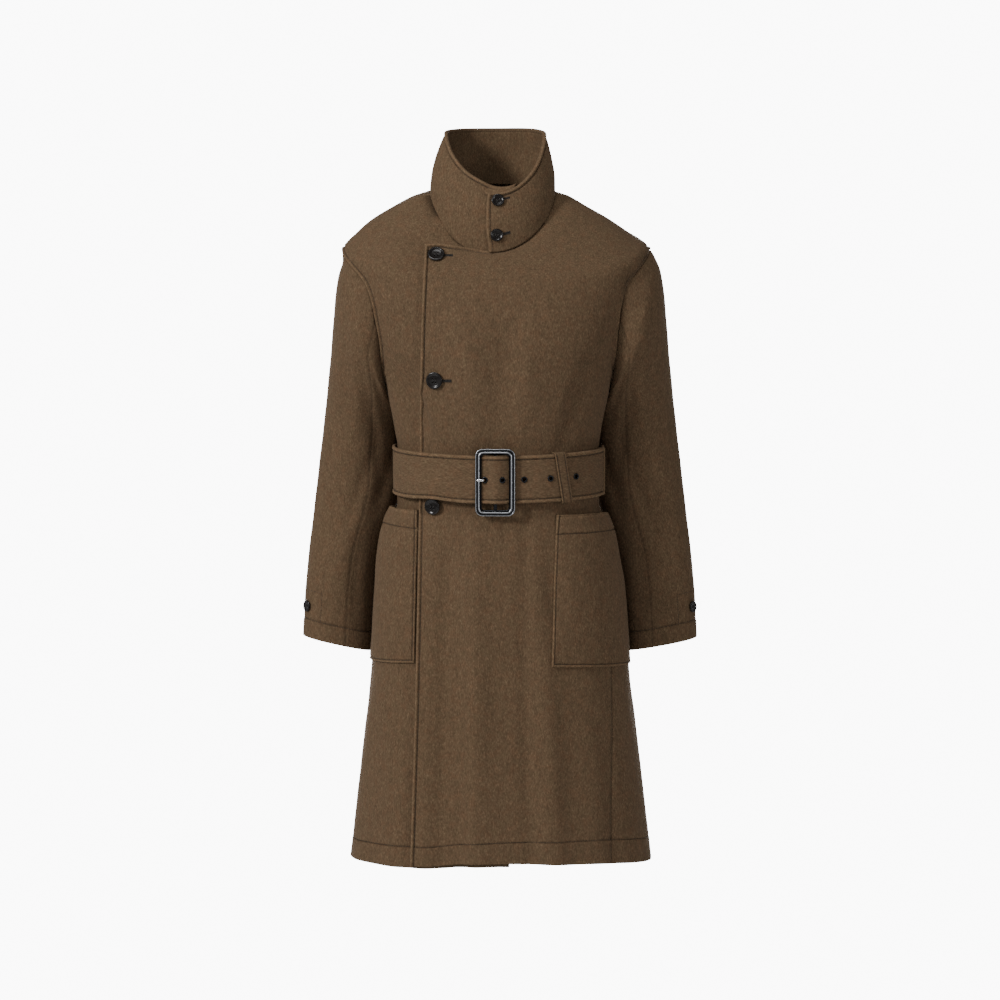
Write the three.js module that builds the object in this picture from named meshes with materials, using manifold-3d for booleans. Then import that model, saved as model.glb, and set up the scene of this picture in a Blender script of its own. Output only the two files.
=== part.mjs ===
// Single-breasted wool coat with a funnel collar and a buckled belt, in millimetres.
// X runs to the wearer's left, Y to the back and Z up, and the origin is inside the neck at shoulder height.

import * as THREE from 'three';
import { mergeVertices } from 'three/addons/utils/BufferGeometryUtils.js';
import Module from 'manifold-3d';

const wasm = await Module();
wasm.setup();

// Driving sizes
const cloth = 2.4;
const seamGap = 0.4;
const layerGap = 0.3;
const overlapGap = 2.9;
const pocketGap = 1.5;
const collarGap = 1.3;
const shoulderDrop = -97;
const underarm = -330;
const hemline = -1111;
const degree = Math.PI / 180;
const seamTurn = 0.06;

// Rings of the body: height at the side, centre across, half width, reach to front and back,
// squareness, and how far the ring dips in front and rises behind
const rings = [
  { z: 0, centre: -13.5, half: 101, front: 80, back: 74, power: 2.0, dip: 99, rise: 12 },
  { z: -4, centre: -14, half: 118, front: 84.5, back: 79, power: 2.0, dip: 97, rise: 15 },
  { z: -10, centre: -15, half: 132, front: 90, back: 86, power: 2.05, dip: 93, rise: 17 },
  { z: -30, centre: -16.5, half: 167, front: 100, back: 99, power: 2.1, dip: 83, rise: 22 },
  { z: -50, centre: -15.5, half: 200, front: 108, back: 109, power: 2.2, dip: 72, rise: 26 },
  { z: -70, centre: -12.5, half: 226, front: 114, back: 116, power: 2.3, dip: 60, rise: 27 },
  { z: -97, centre: -6, half: 255, front: 121, back: 123, power: 2.4, dip: 44, rise: 26 },
  { z: -130, centre: -5, half: 245, front: 128, back: 128, power: 2.45, dip: 31, rise: 22 },
  { z: -170, centre: -4.5, half: 232, front: 134, back: 131, power: 2.5, dip: 20, rise: 15 },
  { z: -215, centre: -4, half: 217, front: 138, back: 132, power: 2.5, dip: 12, rise: 8 },
  { z: -260, centre: -3.5, half: 205, front: 140, back: 131, power: 2.5, dip: 7, rise: 3 },
  { z: -330, centre: -3, half: 186, front: 138, back: 126, power: 2.45, dip: 5, rise: 0 },
  { z: -397, centre: -3.5, half: 172, front: 131, back: 117, power: 2.4, dip: 5, rise: 0 },
  { z: -425, centre: -3, half: 168.2, front: 126.4, back: 114, power: 2.4, dip: 5, rise: 0 },
  { z: -470, centre: -3, half: 167.8, front: 126, back: 113.6, power: 2.4, dip: 5, rise: 0 },
  { z: -520, centre: -3, half: 168.2, front: 126.4, back: 114, power: 2.4, dip: 5, rise: 0 },
  { z: -545, centre: -3, half: 180, front: 129, back: 119.5, power: 2.4, dip: 4, rise: 0 },
  { z: -572, centre: -2.5, half: 190.5, front: 134, back: 127, power: 2.4, dip: 3, rise: 0 },
  { z: -605, centre: -2, half: 197, front: 138.5, back: 133, power: 2.4, dip: 3, rise: 0 },
  { z: -670, centre: 0, half: 206, front: 145, back: 141, power: 2.35, dip: 2, rise: 0 },
  { z: -792, centre: 0.5, half: 216, front: 151, back: 151, power: 2.3, dip: 0, rise: 0 },
  { z: -932, centre: 1, half: 232, front: 157, back: 161, power: 2.25, dip: 0, rise: 0 },
  { z: -1111, centre: 1.5, half: 252, front: 164, back: 171, power: 2.2, dip: 0, rise: 0 },
];

// Large soft folds: the place where each starts and ends, its half width in degrees, its depth
// inwards and whether it runs on open to its lower end
const folds = [
  { turn: -39, z: -560, turnEnd: -30, zEnd: -1111, wide: 11, deep: 4.5, open: true },
  { turn: 2, z: -600, turnEnd: 10, zEnd: -1111, wide: 12, deep: 5, open: true },
  { turn: 38, z: -640, turnEnd: 44, zEnd: -1111, wide: 8, deep: 4, open: true },
  { turn: -72, z: -700, turnEnd: -68, zEnd: -1111, wide: 9, deep: 4, open: true },
  { turn: 118, z: -560, turnEnd: 112, zEnd: -1111, wide: 10, deep: 7, open: true },
  { turn: 152, z: -600, turnEnd: 150, zEnd: -1111, wide: 9, deep: 9, open: true },
  { turn: 198, z: -540, turnEnd: 203, zEnd: -1111, wide: 9, deep: 8, open: true },
  { turn: 242, z: -600, turnEnd: 240, zEnd: -1111, wide: 9, deep: 6, open: true },
  { turn: 150, z: -300, turnEnd: 144, zEnd: -455, wide: 7, deep: 4, open: false },
  { turn: 205, z: -310, turnEnd: 212, zEnd: -455, wide: 7, deep: 4, open: false },
  { turn: 48, z: -230, turnEnd: 36, zEnd: -455, wide: 7, deep: 4, open: false },
  { turn: -58, z: -230, turnEnd: -50, zEnd: -455, wide: 6, deep: 4, open: false },
];

// A smooth reading of one column of a table that never overshoots its rows
function reader(rows, from, to) {
  const gaps = rows.slice(1).map((row, i) => row[from] - rows[i][from]);
  const rates = rows.slice(1).map((row, i) => (row[to] - rows[i][to]) / gaps[i]);
  const last = rates.length;
  const slopes = rows.map((row, i) => {
    if (i === 0) return rates[0];
    if (i === last) return rates[last - 1];
    const product = rates[i - 1] * rates[i];
    return product <= 0 ? 0 : 2 * product / (rates[i - 1] + rates[i]);
  });
  return (at) => {
    let i = 0;
    while (i < last - 1 && (at - rows[i + 1][from]) * gaps[i] > 0) i += 1;
    const t = Math.min(1, Math.max(0, (at - rows[i][from]) / gaps[i]));
    const rest = 1 - t;
    const ends = rows[i][to] * (1 + 2 * t) * rest * rest + rows[i + 1][to] * t * t * (3 - 2 * t);
    return ends + gaps[i] * (slopes[i] * t * rest * rest - slopes[i + 1] * t * t * rest);
  };
}

function readers(rows, from) {
  const keys = Object.keys(rows[0]).filter((key) => key !== from);
  const columns = keys.map((key) => [key, reader(rows, from, key)]);
  return (at) => Object.fromEntries(columns.map(([key, read]) => [key, read(at)]));
}

const ringAt = readers(rings, 'z');

function smooth(low, high, value) {
  const t = Math.min(1, Math.max(0, (value - low) / (high - low)));
  return t * t * (3 - 2 * t);
}

function foldAt(turn, z) {
  let sum = 0;
  for (const fold of folds) {
    const along = (z - fold.z) / (fold.zEnd - fold.z);
    if (along <= 0) continue;
    const middle = fold.turn + (fold.turnEnd - fold.turn) * Math.min(1, along);
    const aside = ((turn - middle + 540) % 360) - 180;
    const fade = fold.open ? smooth(0, 0.7, along) : smooth(0, 0.5, along) * (1 - smooth(0.5, 1, along));
    sum -= fold.deep * fade * Math.exp(-((aside / fold.wide) ** 2));
  }
  return sum;
}

// A point of the coat's outer face. The turn is in degrees from the front towards the wearer's left.
function bodyPoint(turn, z) {
  const ring = ringAt(z);
  const side = Math.sin(turn * degree);
  const ahead = Math.cos(turn * degree);
  const depth = ahead > 0 ? ring.front : ring.back;
  const sum = Math.abs(side / ring.half) ** ring.power + Math.abs(ahead / depth) ** ring.power;
  const reach = sum ** (-1 / ring.power);
  const share = (reach * Math.abs(ahead) / depth) ** (ahead > 0 ? 1.3 : 1.15);
  const out = reach + foldAt(turn, z);
  const lift = ahead > 0 ? -ring.dip * share : ring.rise * share;
  return new THREE.Vector3(ring.centre + out * side, -out * ahead, z + lift);
}

function bodyNormal(turn, z) {
  const around = bodyPoint(turn + 0.4, z).sub(bodyPoint(turn - 0.4, z));
  const up = bodyPoint(turn, Math.min(0, z + 1.5)).sub(bodyPoint(turn, z - 1.5));
  return around.cross(up).normalize();
}

// Where on the front a point shows at the given x and z
function spot(x, z) {
  let height = z;
  let low = 0;
  for (let round = 0; round < 30; round += 1) {
    low = -89.9;
    let high = 89.9;
    for (let halving = 0; halving < 24; halving += 1) {
      const middle = (low + high) / 2;
      if (bodyPoint(middle, height).x < x) low = middle;
      else high = middle;
    }
    height = Math.min(0, height + 0.8 * (z - bodyPoint(low, height).z));
  }
  return [low, height];
}

// The cloth plane: half width times turn across, and true height
function toPlane([turn, z], middle) {
  return [ringAt(z).half * (turn - middle) * degree, bodyPoint(turn, z).z];
}

function fromPlane([across, height], middle) {
  let z = height;
  let turn = 0;
  for (let round = 0; round < 40; round += 1) {
    turn = middle + across / (ringAt(z).half * degree);
    z = Math.min(0, z + 0.7 * (height - bodyPoint(turn, z).z));
  }
  return [turn, z];
}

function steps(count, from, to) {
  return Array.from({ length: count + 1 }, (unused, i) => from + (to - from) * i / count);
}

// Closed wall from two grids of points, joined round the edge. A ring grid is also closed on itself.
function wallMesh(outer, inner, ring = false) {
  const rows = outer.length;
  const columns = outer[0].length;
  const points = [...outer.flat(), ...inner.flat()];
  const faces = [];
  const inside = rows * columns;
  const quad = (a, b, c, d) => faces.push(a, b, c, a, c, d);
  const last = ring ? columns : columns - 1;
  for (let j = 0; j < rows - 1; j += 1) {
    for (let i = 0; i < last; i += 1) {
      const next = (i + 1) % columns;
      const a = j * columns + i;
      const b = j * columns + next;
      const c = a + columns;
      const d = b + columns;
      quad(a, c, d, b);
      quad(inside + a, inside + b, inside + d, inside + c);
    }
  }
  for (let i = 0; i < last; i += 1) {
    const next = (i + 1) % columns;
    const foot = (rows - 1) * columns;
    quad(i, next, inside + next, inside + i);
    quad(foot + next, foot + i, inside + foot + i, inside + foot + next);
  }
  if (!ring) {
    for (let j = 0; j < rows - 1; j += 1) {
      const a = j * columns;
      const b = a + columns - 1;
      quad(a + columns, a, inside + a, inside + a + columns);
      quad(b, b + columns, inside + b + columns, inside + b);
    }
  }
  const geometry = new THREE.BufferGeometry();
  const numbers = points.flatMap((point) => [point.x, point.y, point.z]);
  geometry.setAttribute('position', new THREE.Float32BufferAttribute(numbers, 3));
  geometry.setIndex(faces);
  return geometry;
}

// Cloth over the body's face, from a grid of turns and heights and how far out its face lies
function clothOn(grid, face, thick = cloth) {
  const layer = (extra) => grid.map((row, j) => row.map(([turn, z], i) => {
    const out = face(turn, z, i, j) + extra;
    return bodyPoint(turn, z).addScaledVector(bodyNormal(turn, z), out);
  }));
  return wallMesh(layer(0), layer(-thick));
}

// A four-sided field of the cloth plane, filled between its top, bottom, start and end lines
function fill(top, bottom, start, end, down, middle) {
  const [upper, lower, first, last] = [top, bottom, start, end].map((line) => (
    line.map((point) => toPlane(point, middle))
  ));
  const across = upper.length - 1;
  return down.map((v, j) => upper.map((unused, i) => {
    if (j === 0) return top[i];
    if (j === down.length - 1) return bottom[i];
    if (i === 0) return start[j];
    if (i === across) return end[j];
    const u = i / across;
    const blend = [0, 1].map((k) => {
      const sides = (1 - u) * first[j][k] + u * last[j][k] + (1 - v) * upper[i][k] + v * lower[i][k];
      const corners = (1 - u) * ((1 - v) * upper[0][k] + v * lower[0][k])
        + u * ((1 - v) * upper[across][k] + v * lower[across][k]);
      return sides - corners;
    });
    return fromPlane(blend, middle);
  }));
}

// Lines shared by the panels
const armholeRows = 10;
const neckColumns = 6;
const shoulderColumns = 5;
const backNeckColumns = 8;
const sideHeights = [
  -330, -362, -395, -425, -466, -519, -545, -580, -625, -675, -730, -790, -850, -912, -977, -1044, -1111,
];
const edgeTop = -86;
const edgeHeights = [...steps(armholeRows, edgeTop, underarm), ...sideHeights.slice(1)];
const down = edgeHeights.map((z) => (z - edgeTop) / (hemline - edgeTop));

// The armhole from the shoulder to the underarm: turn forward of the side, and height
const armhole = [
  { at: 0, turn: 0, z: -97 },
  { at: 1, turn: 5, z: -101 },
  { at: 2, turn: 10.6, z: -109 },
  { at: 3, turn: 15.4, z: -124 },
  { at: 4, turn: 19, z: -146 },
  { at: 5, turn: 20.2, z: -180 },
  { at: 6, turn: 19.5, z: -215 },
  { at: 7, turn: 17, z: -257 },
  { at: 8, turn: 12.5, z: -297 },
  { at: 9, turn: 6.5, z: -322 },
  { at: 10, turn: 0, z: -330 },
];

// The side seams below the underarm: turn at each height on either side
const leftSeam = [
  { z: -330, turn: 90 },
  { z: -465, turn: 82 },
  { z: -700, turn: 67 },
  { z: -800, turn: 64 },
  { z: -1111, turn: 58 },
];
const rightSeam = [
  { z: -330, turn: -90 },
  { z: -465, turn: -93 },
  { z: -1111, turn: -98 },
];

function armholeLine(side, backwards) {
  return armhole.map((row) => {
    const forward = Math.max(row.turn, seamTurn);
    return [side * (backwards ? 90 + forward : 90 - forward), row.z];
  });
}

function seamLine(seam, shift) {
  const turnAt = reader(seam, 'z', 'turn');
  return sideHeights.slice(1).map((z) => [turnAt(z) + shift, z]);
}

// Height of the hem at each turn, for its front dips
const hemRows = [
  { turn: -98, z: -1111 },
  { turn: -50, z: -1111 },
  { turn: -42, z: -1111 },
  { turn: -20, z: -1104 },
  { turn: 10, z: -1101 },
  { turn: 50, z: -1101 },
  { turn: 80, z: -1108 },
  { turn: 98, z: -1111 },
];
const hemAt = reader(hemRows, 'turn', 'z');

// The wearer's left front edge, as it shows from the front
const frontEdge = [
  { z: -86, x: -124 },
  { z: -240, x: -130 },
  { z: -523, x: -134 },
  { z: -820, x: -140 },
  { z: -1111, x: -149 },
];
const frontEdgeAt = reader(frontEdge, 'z', 'x');

// The free top edge of the overlap, from its corner to the collar's end
const flapTop = [
  { x: -124, z: -86 },
  { x: -98, z: -85.5 },
  { x: -76, z: -89 },
  { x: -57, z: -92 },
  { x: -33, z: -96.5 },
  { x: -15, z: -99 },
];

function frontEdgeLine(shift) {
  return edgeHeights.map((z) => spot(frontEdgeAt(z) + shift, z));
}

function hemLine(columns, from, to) {
  return steps(columns, from, to).map((turn) => [turn, hemAt(turn > 180 ? turn - 360 : turn)]);
}

// How far the covered front sinks below the overlap near its edge
const tuckWidth = 60;
function tuckAt(turn, z) {
  const point = bodyPoint(turn, z);
  const past = point.x - frontEdgeAt(point.z);
  const ahead = Math.abs(turn) < 90 ? smooth(-tuckWidth, -4, past) : 0;
  return -(cloth + overlapGap) * ahead;
}

function frontLeft() {
  const flap = flapTop.map((row) => spot(row.x, row.z));
  flap[flap.length - 1] = [0, 0];
  const neck = steps(neckColumns, 0, 90 - seamTurn).slice(1).map((turn) => [turn, 0]);
  const shoulder = steps(shoulderColumns, 0, shoulderDrop).slice(1).map((z) => [90 - seamTurn, z]);
  const top = [...flap, ...neck, ...shoulder];
  const start = frontEdgeLine(0);
  start[0] = top[0];
  const end = [...armholeLine(1, false), ...seamLine(leftSeam, -seamTurn)];
  const foot = start[start.length - 1];
  const bottom = hemLine(top.length - 1, foot[0], end[end.length - 1][0]);
  bottom[0] = foot;
  end[end.length - 1] = bottom[bottom.length - 1];
  return clothOn(fill(top, bottom, start, end, down, 0), () => 0);
}

const hiddenEdge = 165;
function frontRight() {
  const start = [...armholeLine(-1, false), ...seamLine(rightSeam, seamTurn)];
  const shoulder = steps(shoulderColumns, shoulderDrop, 0).slice(0, -1).map((z) => [-90 + seamTurn, z]);
  const neck = steps(neckColumns, -90 + seamTurn, 0).map((turn) => [turn, 0]);
  const overlap = steps(4, 0, spot(frontEdge[0].x + hiddenEdge, -94)[0]).slice(1).map((turn) => [turn, 0]);
  const top = [...shoulder, ...neck, ...overlap];
  const end = frontEdgeLine(hiddenEdge);
  end[0] = top[top.length - 1];
  const foot = end[end.length - 1];
  foot[1] = hemAt(foot[0]);
  const bottom = hemLine(top.length - 1, start[start.length - 1][0], foot[0]);
  start[start.length - 1] = bottom[0];
  return clothOn(fill(top, bottom, start, end, down, 0), tuckAt);
}

function back() {
  const leftShoulder = steps(shoulderColumns, shoulderDrop, 0).map((z) => [90 + seamTurn, z]);
  const neck = steps(backNeckColumns, 90 + seamTurn, 270 - seamTurn).slice(1).map((turn) => [turn, 0]);
  const rightShoulder = steps(shoulderColumns, 0, shoulderDrop).slice(1).map((z) => [270 - seamTurn, z]);
  const top = [...leftShoulder, ...neck, ...rightShoulder];
  const start = [...armholeLine(1, true), ...seamLine(leftSeam, seamTurn)];
  const rightLine = [...armholeLine(-1, true), ...seamLine(rightSeam, -seamTurn)];
  const end = rightLine.map(([turn, z]) => [turn + 360, z]);
  const bottom = hemLine(top.length - 1, start[start.length - 1][0], end[end.length - 1][0]);
  start[start.length - 1] = bottom[0];
  end[end.length - 1] = bottom[bottom.length - 1];
  return clothOn(fill(top, bottom, start, end, down, 180), () => 0);
}

// Sections of a sleeve from the shoulder to the cuff: its outer and inner points as they show from
// the front, the middle of its depth, its reach to front and back, and its squareness
const sleeveRows = [
  { outX: 262, outZ: -118, inX: 190, inZ: -333, midY: 2, deep: 76, power: 2.1 },
  { outX: 270, outZ: -145, inX: 193, inZ: -337, midY: 5, deep: 79, power: 2.1 },
  { outX: 275, outZ: -182, inX: 194, inZ: -342, midY: 10, deep: 81, power: 2.1 },
  { outX: 279, outZ: -225, inX: 191, inZ: -350, midY: 20, deep: 81, power: 2.1 },
  { outX: 284, outZ: -280, inX: 180, inZ: -364, midY: 33, deep: 79, power: 2.15 },
  { outX: 289.5, outZ: -332, inX: 173, inZ: -386, midY: 45, deep: 76, power: 2.2 },
  { outX: 295, outZ: -382, inX: 173, inZ: -415, midY: 53, deep: 72, power: 2.2 },
  { outX: 301, outZ: -432, inX: 175, inZ: -449, midY: 57, deep: 68, power: 2.2 },
  { outX: 307, outZ: -482, inX: 176, inZ: -491, midY: 58, deep: 64, power: 2.2 },
  { outX: 313, outZ: -533, inX: 185, inZ: -540, midY: 58, deep: 60, power: 2.2 },
  { outX: 320.5, outZ: -592, inX: 201, inZ: -602, midY: 58, deep: 56, power: 2.2 },
  { outX: 327, outZ: -652, inX: 206, inZ: -665, midY: 58, deep: 52, power: 2.2 },
  { outX: 330, outZ: -702, inX: 210, inZ: -716, midY: 58, deep: 49, power: 2.2 },
  { outX: 331, outZ: -744, inX: 213, inZ: -764, midY: 57, deep: 48, power: 2.2 },
];

// Soft folds of a sleeve: the row where each is deepest, its angle round the sleeve from outside
// towards the front, its reach along and round, and its depth
const sleeveFolds = [
  { row: 6.5, turn: 128, long: 3.4, wide: 22, deep: 6 },
  { row: 5.2, turn: -60, long: 2.2, wide: 26, deep: 4 },
  { row: 9.2, turn: 55, long: 2.4, wide: 24, deep: 2.5 },
];

// How much higher the outer end of the wearer's right cuff lies, and the body's middle, from which
// the inner points are measured
const rightHitch = 6;
const sleeveCentre = -3;

function sleevePoint(side, row, turn, at) {
  const hitch = side < 0 ? rightHitch * (at / (sleeveRows.length - 1)) ** 6 : 0;
  const out = new THREE.Vector3(side * row.outX, row.midY, row.outZ + hitch);
  const inn = new THREE.Vector3(side * row.inX + sleeveCentre, row.midY, row.inZ);
  const middle = out.clone().add(inn).multiplyScalar(0.5);
  const wide = out.clone().sub(middle);
  const c = Math.cos(turn * degree);
  const s = Math.sin(turn * degree);
  let size = (Math.abs(c) ** row.power + Math.abs(s) ** row.power) ** (-1 / row.power);
  for (const fold of sleeveFolds) {
    const aside = ((turn - fold.turn + 540) % 360) - 180;
    const near = Math.exp(-((aside / fold.wide) ** 2) - ((at - fold.row) / fold.long) ** 2);
    size -= fold.deep / 70 * near;
  }
  return middle.addScaledVector(wide, c * size).add(new THREE.Vector3(0, -row.deep * s * size, 0));
}

function gridNormals(grid, ring) {
  const columns = grid[0].length;
  return grid.map((row, j) => row.map((point, i) => {
    const before = ring ? row[(i + columns - 1) % columns] : row[Math.max(0, i - 1)];
    const after = ring ? row[(i + 1) % columns] : row[Math.min(columns - 1, i + 1)];
    const above = grid[Math.max(0, j - 1)][i];
    const below = grid[Math.min(grid.length - 1, j + 1)][i];
    return after.clone().sub(before).cross(above.clone().sub(below)).normalize();
  }));
}

function shrink(grid, normals, by) {
  return grid.map((row, j) => row.map((point, i) => point.clone().addScaledVector(normals[j][i], -by)));
}

function sleeve(side) {
  const front = armholeLine(side, false);
  const rear = armholeLine(side, true).reverse();
  const loop = [...front.slice(0, -1), ...rear.slice(0, -1)];
  const first = loop.map(([turn, z]) => bodyPoint(turn, z));
  first[0] = bodyPoint(side * 90, shoulderDrop);
  first[armholeRows] = bodyPoint(side * 90, underarm);
  const grid = sleeveRows.map((row, at) => first.map((unused, i) => (
    sleevePoint(side, row, 360 * i / first.length, at)
  )));
  const start = first.map((point, i) => {
    const away = grid[0][i].clone().sub(point).normalize();
    return point.clone().addScaledVector(away, seamGap + 0.4);
  });
  const whole = [start, ...grid].map((row) => (side > 0 ? row.slice().reverse() : row));
  const normals = gridNormals(whole, true);
  return wallMesh(whole, shrink(whole, normals, cloth), true);
}

// The collar, one strip from its buttoned end round the back and under that end again
const collarThick = 4.6;
const collarRows = 6;
const collarHeights = [
  { turn: -7, tall: 96 },
  { turn: 50, tall: 95 },
  { turn: 90, tall: 97 },
  { turn: 180, tall: 92 },
  { turn: 270, tall: 98 },
  { turn: 310, tall: 108 },
  { turn: 335, tall: 112 },
  { turn: 360, tall: 107 },
  { turn: 392, tall: 98 },
];
const collarShape = [
  { at: 0, centre: -13.5, half: 101, front: 80, back: 74 },
  { at: 0.25, centre: -12.8, half: 99.5, front: 79, back: 75 },
  { at: 0.5, centre: -11.7, half: 95, front: 76, back: 75 },
  { at: 0.75, centre: -10.4, half: 88, front: 71, back: 73 },
  { at: 1, centre: -9, half: 79, front: 64, back: 70 },
];
const collarTallAt = reader(collarHeights, 'turn', 'tall');
const collarAt = readers(collarShape, 'at');
const overEnd = [
  { at: 0, turn: -3.2 },
  { at: 0.5, turn: -8.2 },
  { at: 0.85, turn: -9.4 },
  { at: 1, turn: -9 },
];
const overEndAt = reader(overEnd, 'at', 'turn');

function collarPoint(turn, at) {
  const ring = collarAt(at);
  const side = Math.sin(turn * degree);
  const ahead = Math.cos(turn * degree);
  const depth = ahead > 0 ? ring.front : ring.back;
  const lap = (collarThick + layerGap) * (1 - smooth(50, 120, turn));
  const reach = ((side / ring.half) ** 2 + (ahead / depth) ** 2) ** -0.5 + lap;
  const foot = bodyPoint(turn, 0).z + collarGap;
  return new THREE.Vector3(ring.centre + reach * side, -reach * ahead, foot + collarTallAt(turn) * at);
}

function collar() {
  const turns = [
    ...steps(neckColumns, 0, 90).slice(1), ...steps(backNeckColumns, 90, 270).slice(1),
    ...steps(neckColumns, 270, 360).slice(1), 376, 392,
  ];
  const grid = steps(collarRows, 1, 0).map((at) => (
    [overEndAt(at), 3, ...turns].map((turn) => collarPoint(turn, at))
  ));
  const normals = gridNormals(grid, false);
  return wallMesh(shrink(grid, normals, -collarThick / 2), shrink(grid, normals, collarThick / 2));
}

// Patch pockets: inner edge as it shows from the front at the top and foot, outer edge as a turn
const pocketThick = 2.6;
const pocketSlant = 8;
const pockets = {
  pocket_left: { top: -531, foot: -780, innerTop: 92, innerFoot: 84, outerTop: 97, outerFoot: 93, gape: 5 },
  pocket_right: { top: -524, foot: -776, fromEdge: -3.5, outerTop: -112, outerFoot: -106, gape: 7 },
};

function pocket(size) {
  const columns = 9;
  const rows = steps(8, 0, 1);
  const zAt = (v) => size.top + v * (size.foot - size.top);
  const inner = rows.map((v) => {
    const z = zAt(v);
    const own = size.innerTop + v * (size.innerFoot - size.innerTop);
    return spot(size.fromEdge ? frontEdgeAt(z) + size.fromEdge : own, z);
  });
  const outer = rows.map((v) => [size.outerTop + v * (size.outerFoot - size.outerTop), zAt(v) - pocketSlant]);
  const edge = (v, row) => steps(columns, inner[row][0], outer[row][0]).map((turn, i) => (
    [turn, zAt(v) - pocketSlant * i / columns]
  ));
  let grid = fill(edge(0, 0), edge(1, rows.length - 1), inner, outer, rows, 0);
  if (size.outerTop < 0) grid = grid.map((row) => row.reverse());
  const lift = (turn, z, i, j) => {
    const across = Math.sin(Math.PI * i / columns);
    return pocketThick + pocketGap + size.gape * across * (1 - rows[j]) ** 2;
  };
  const face = (turn, z, i, j) => (size.fromEdge ? tuckAt(turn, z) : 0) + lift(turn, z, i, j);
  return clothOn(grid, face, pocketThick);
}

// The belt, one strap from the buckle's middle bar round the waist and through the buckle again
const beltThick = 4.4;
const beltHalf = 39.5;
const beltHeight = -461;
const beltDip = 11;
const firstLayer = 3.4;
const secondLayer = firstLayer + beltThick + layerGap;
const buckleX = -7;
const buckleTurn = spot(buckleX, beltHeight)[0];
const tipTurn = 360 + 78;
const keeperX = 102;
const keeperTurn = spot(keeperX, beltHeight)[0];
const lowButton = { x: -109, z: -514 };

function beltBase(turn) {
  const point = bodyPoint(turn, beltHeight);
  const normal = bodyNormal(turn, beltHeight).setZ(0).normalize();
  point.z = beltHeight - beltDip * Math.max(0, Math.cos(turn * degree));
  return [point, normal];
}

// How far the strap's inner face stands off the coat at a turn and a height across it
function beltOut(turn, rise) {
  const along = (turn - 360 - buckleTurn) * 2.25;
  const mount = smooth(-130, -40, along) * (secondLayer - firstLayer);
  const hump = 7 * Math.exp(-((along / 13) ** 2));
  const aroundKeeper = ((turn - keeperTurn + 540) % 360) - 180;
  const keeperRoom = 0.9 * Math.exp(-((aroundKeeper / 12) ** 4));
  const buttonSide = (turn - 360 - spot(lowButton.x, lowButton.z)[0]) * 2.25;
  const buttonRoom = 5.5 * Math.exp(-((buttonSide / 30) ** 2)) * smooth(30, -30, rise);
  return firstLayer + mount + hump + keeperRoom + (turn > 200 ? buttonRoom : 0);
}

function beltPoint(turn, rise, out) {
  const [point, normal] = beltBase(turn);
  point.addScaledVector(normal, beltOut(turn, rise) + out);
  point.z += rise;
  return point;
}

function toManifold(geometry) {
  const bare = geometry.clone();
  bare.deleteAttribute('normal');
  bare.deleteAttribute('uv');
  const merged = mergeVertices(bare, 1e-4);
  return new wasm.Manifold(new wasm.Mesh({
    numProp: 3,
    vertProperties: new Float32Array(merged.attributes.position.array),
    triVerts: new Uint32Array(merged.index.array),
  }));
}

function toGeometry(solid) {
  const mesh = solid.getMesh();
  const geometry = new THREE.BufferGeometry();
  geometry.setAttribute('position', new THREE.Float32BufferAttribute(mesh.vertProperties, 3));
  geometry.setIndex(Array.from(mesh.triVerts));
  return geometry;
}

// Places a geometry drawn with +Z outwards and +Y up at a point, facing along a normal
function facing(geometry, point, normal) {
  const up = new THREE.Vector3(0, 0, 1);
  const right = up.clone().cross(normal).normalize();
  const top = normal.clone().cross(right);
  const matrix = new THREE.Matrix4().makeBasis(right, top, normal).setPosition(point);
  return geometry.clone().applyMatrix4(matrix);
}

const eyeletXs = [-24, 9, 42.5, 83, 124];
const eyeletHole = 3.1;
const eyeletRim = 5;

function eyeletPlace(x) {
  const turn = spot(x, beltHeight)[0] + 360;
  const across = beltPoint(turn + 0.6, 0, beltThick).sub(beltPoint(turn - 0.6, 0, beltThick));
  return [beltPoint(turn, 0, beltThick), across.cross(new THREE.Vector3(0, 0, 1)).normalize()];
}

function belt() {
  const near = steps(18, buckleTurn + 340, buckleTurn + 380);
  const turns = [
    ...steps(10, buckleTurn + 2.6, 90), ...steps(20, 90, 300).slice(1), ...steps(4, 300, near[0]).slice(1),
    ...near.slice(1), ...steps(14, near[near.length - 1], tipTurn).slice(1),
  ];
  const rises = steps(4, beltHalf, -beltHalf);
  const layer = (out) => rises.map((rise) => turns.map((turn) => beltPoint(turn, rise, out)));
  let solid = toManifold(wallMesh(layer(beltThick), layer(0)));
  for (const x of eyeletXs) {
    const [point, normal] = eyeletPlace(x);
    const drill = new THREE.CylinderGeometry(eyeletHole + 0.9, eyeletHole + 0.9, beltThick + 2.4, 10);
    drill.rotateX(Math.PI / 2).translate(0, 0, -beltThick / 2 + 1);
    solid = solid.subtract(toManifold(facing(drill, point, normal)));
  }
  return toGeometry(solid);
}

function eyelet(x) {
  const [point, normal] = eyeletPlace(x);
  const barrel = eyeletHole + 0.5;
  const profile = [
    [eyeletHole, -beltThick + 0.3], [barrel, -beltThick + 0.3], [barrel, 0.35], [eyeletRim, 0.35],
    [eyeletRim - 0.3, 1.1], [eyeletHole + 0.4, 1.2], [eyeletHole, 0.8], [eyeletHole, -beltThick + 0.3],
  ].map(([r, z]) => new THREE.Vector2(r, z));
  const ring = new THREE.LatheGeometry(profile, 12).rotateX(Math.PI / 2);
  return facing(ring, point.addScaledVector(normal, 0.25), normal);
}

// The keeper, a narrow loop of cloth round both layers of the belt
const keeperHalf = 8.5;
const keeperLean = 12;
const keeperThick = 1.8;

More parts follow.
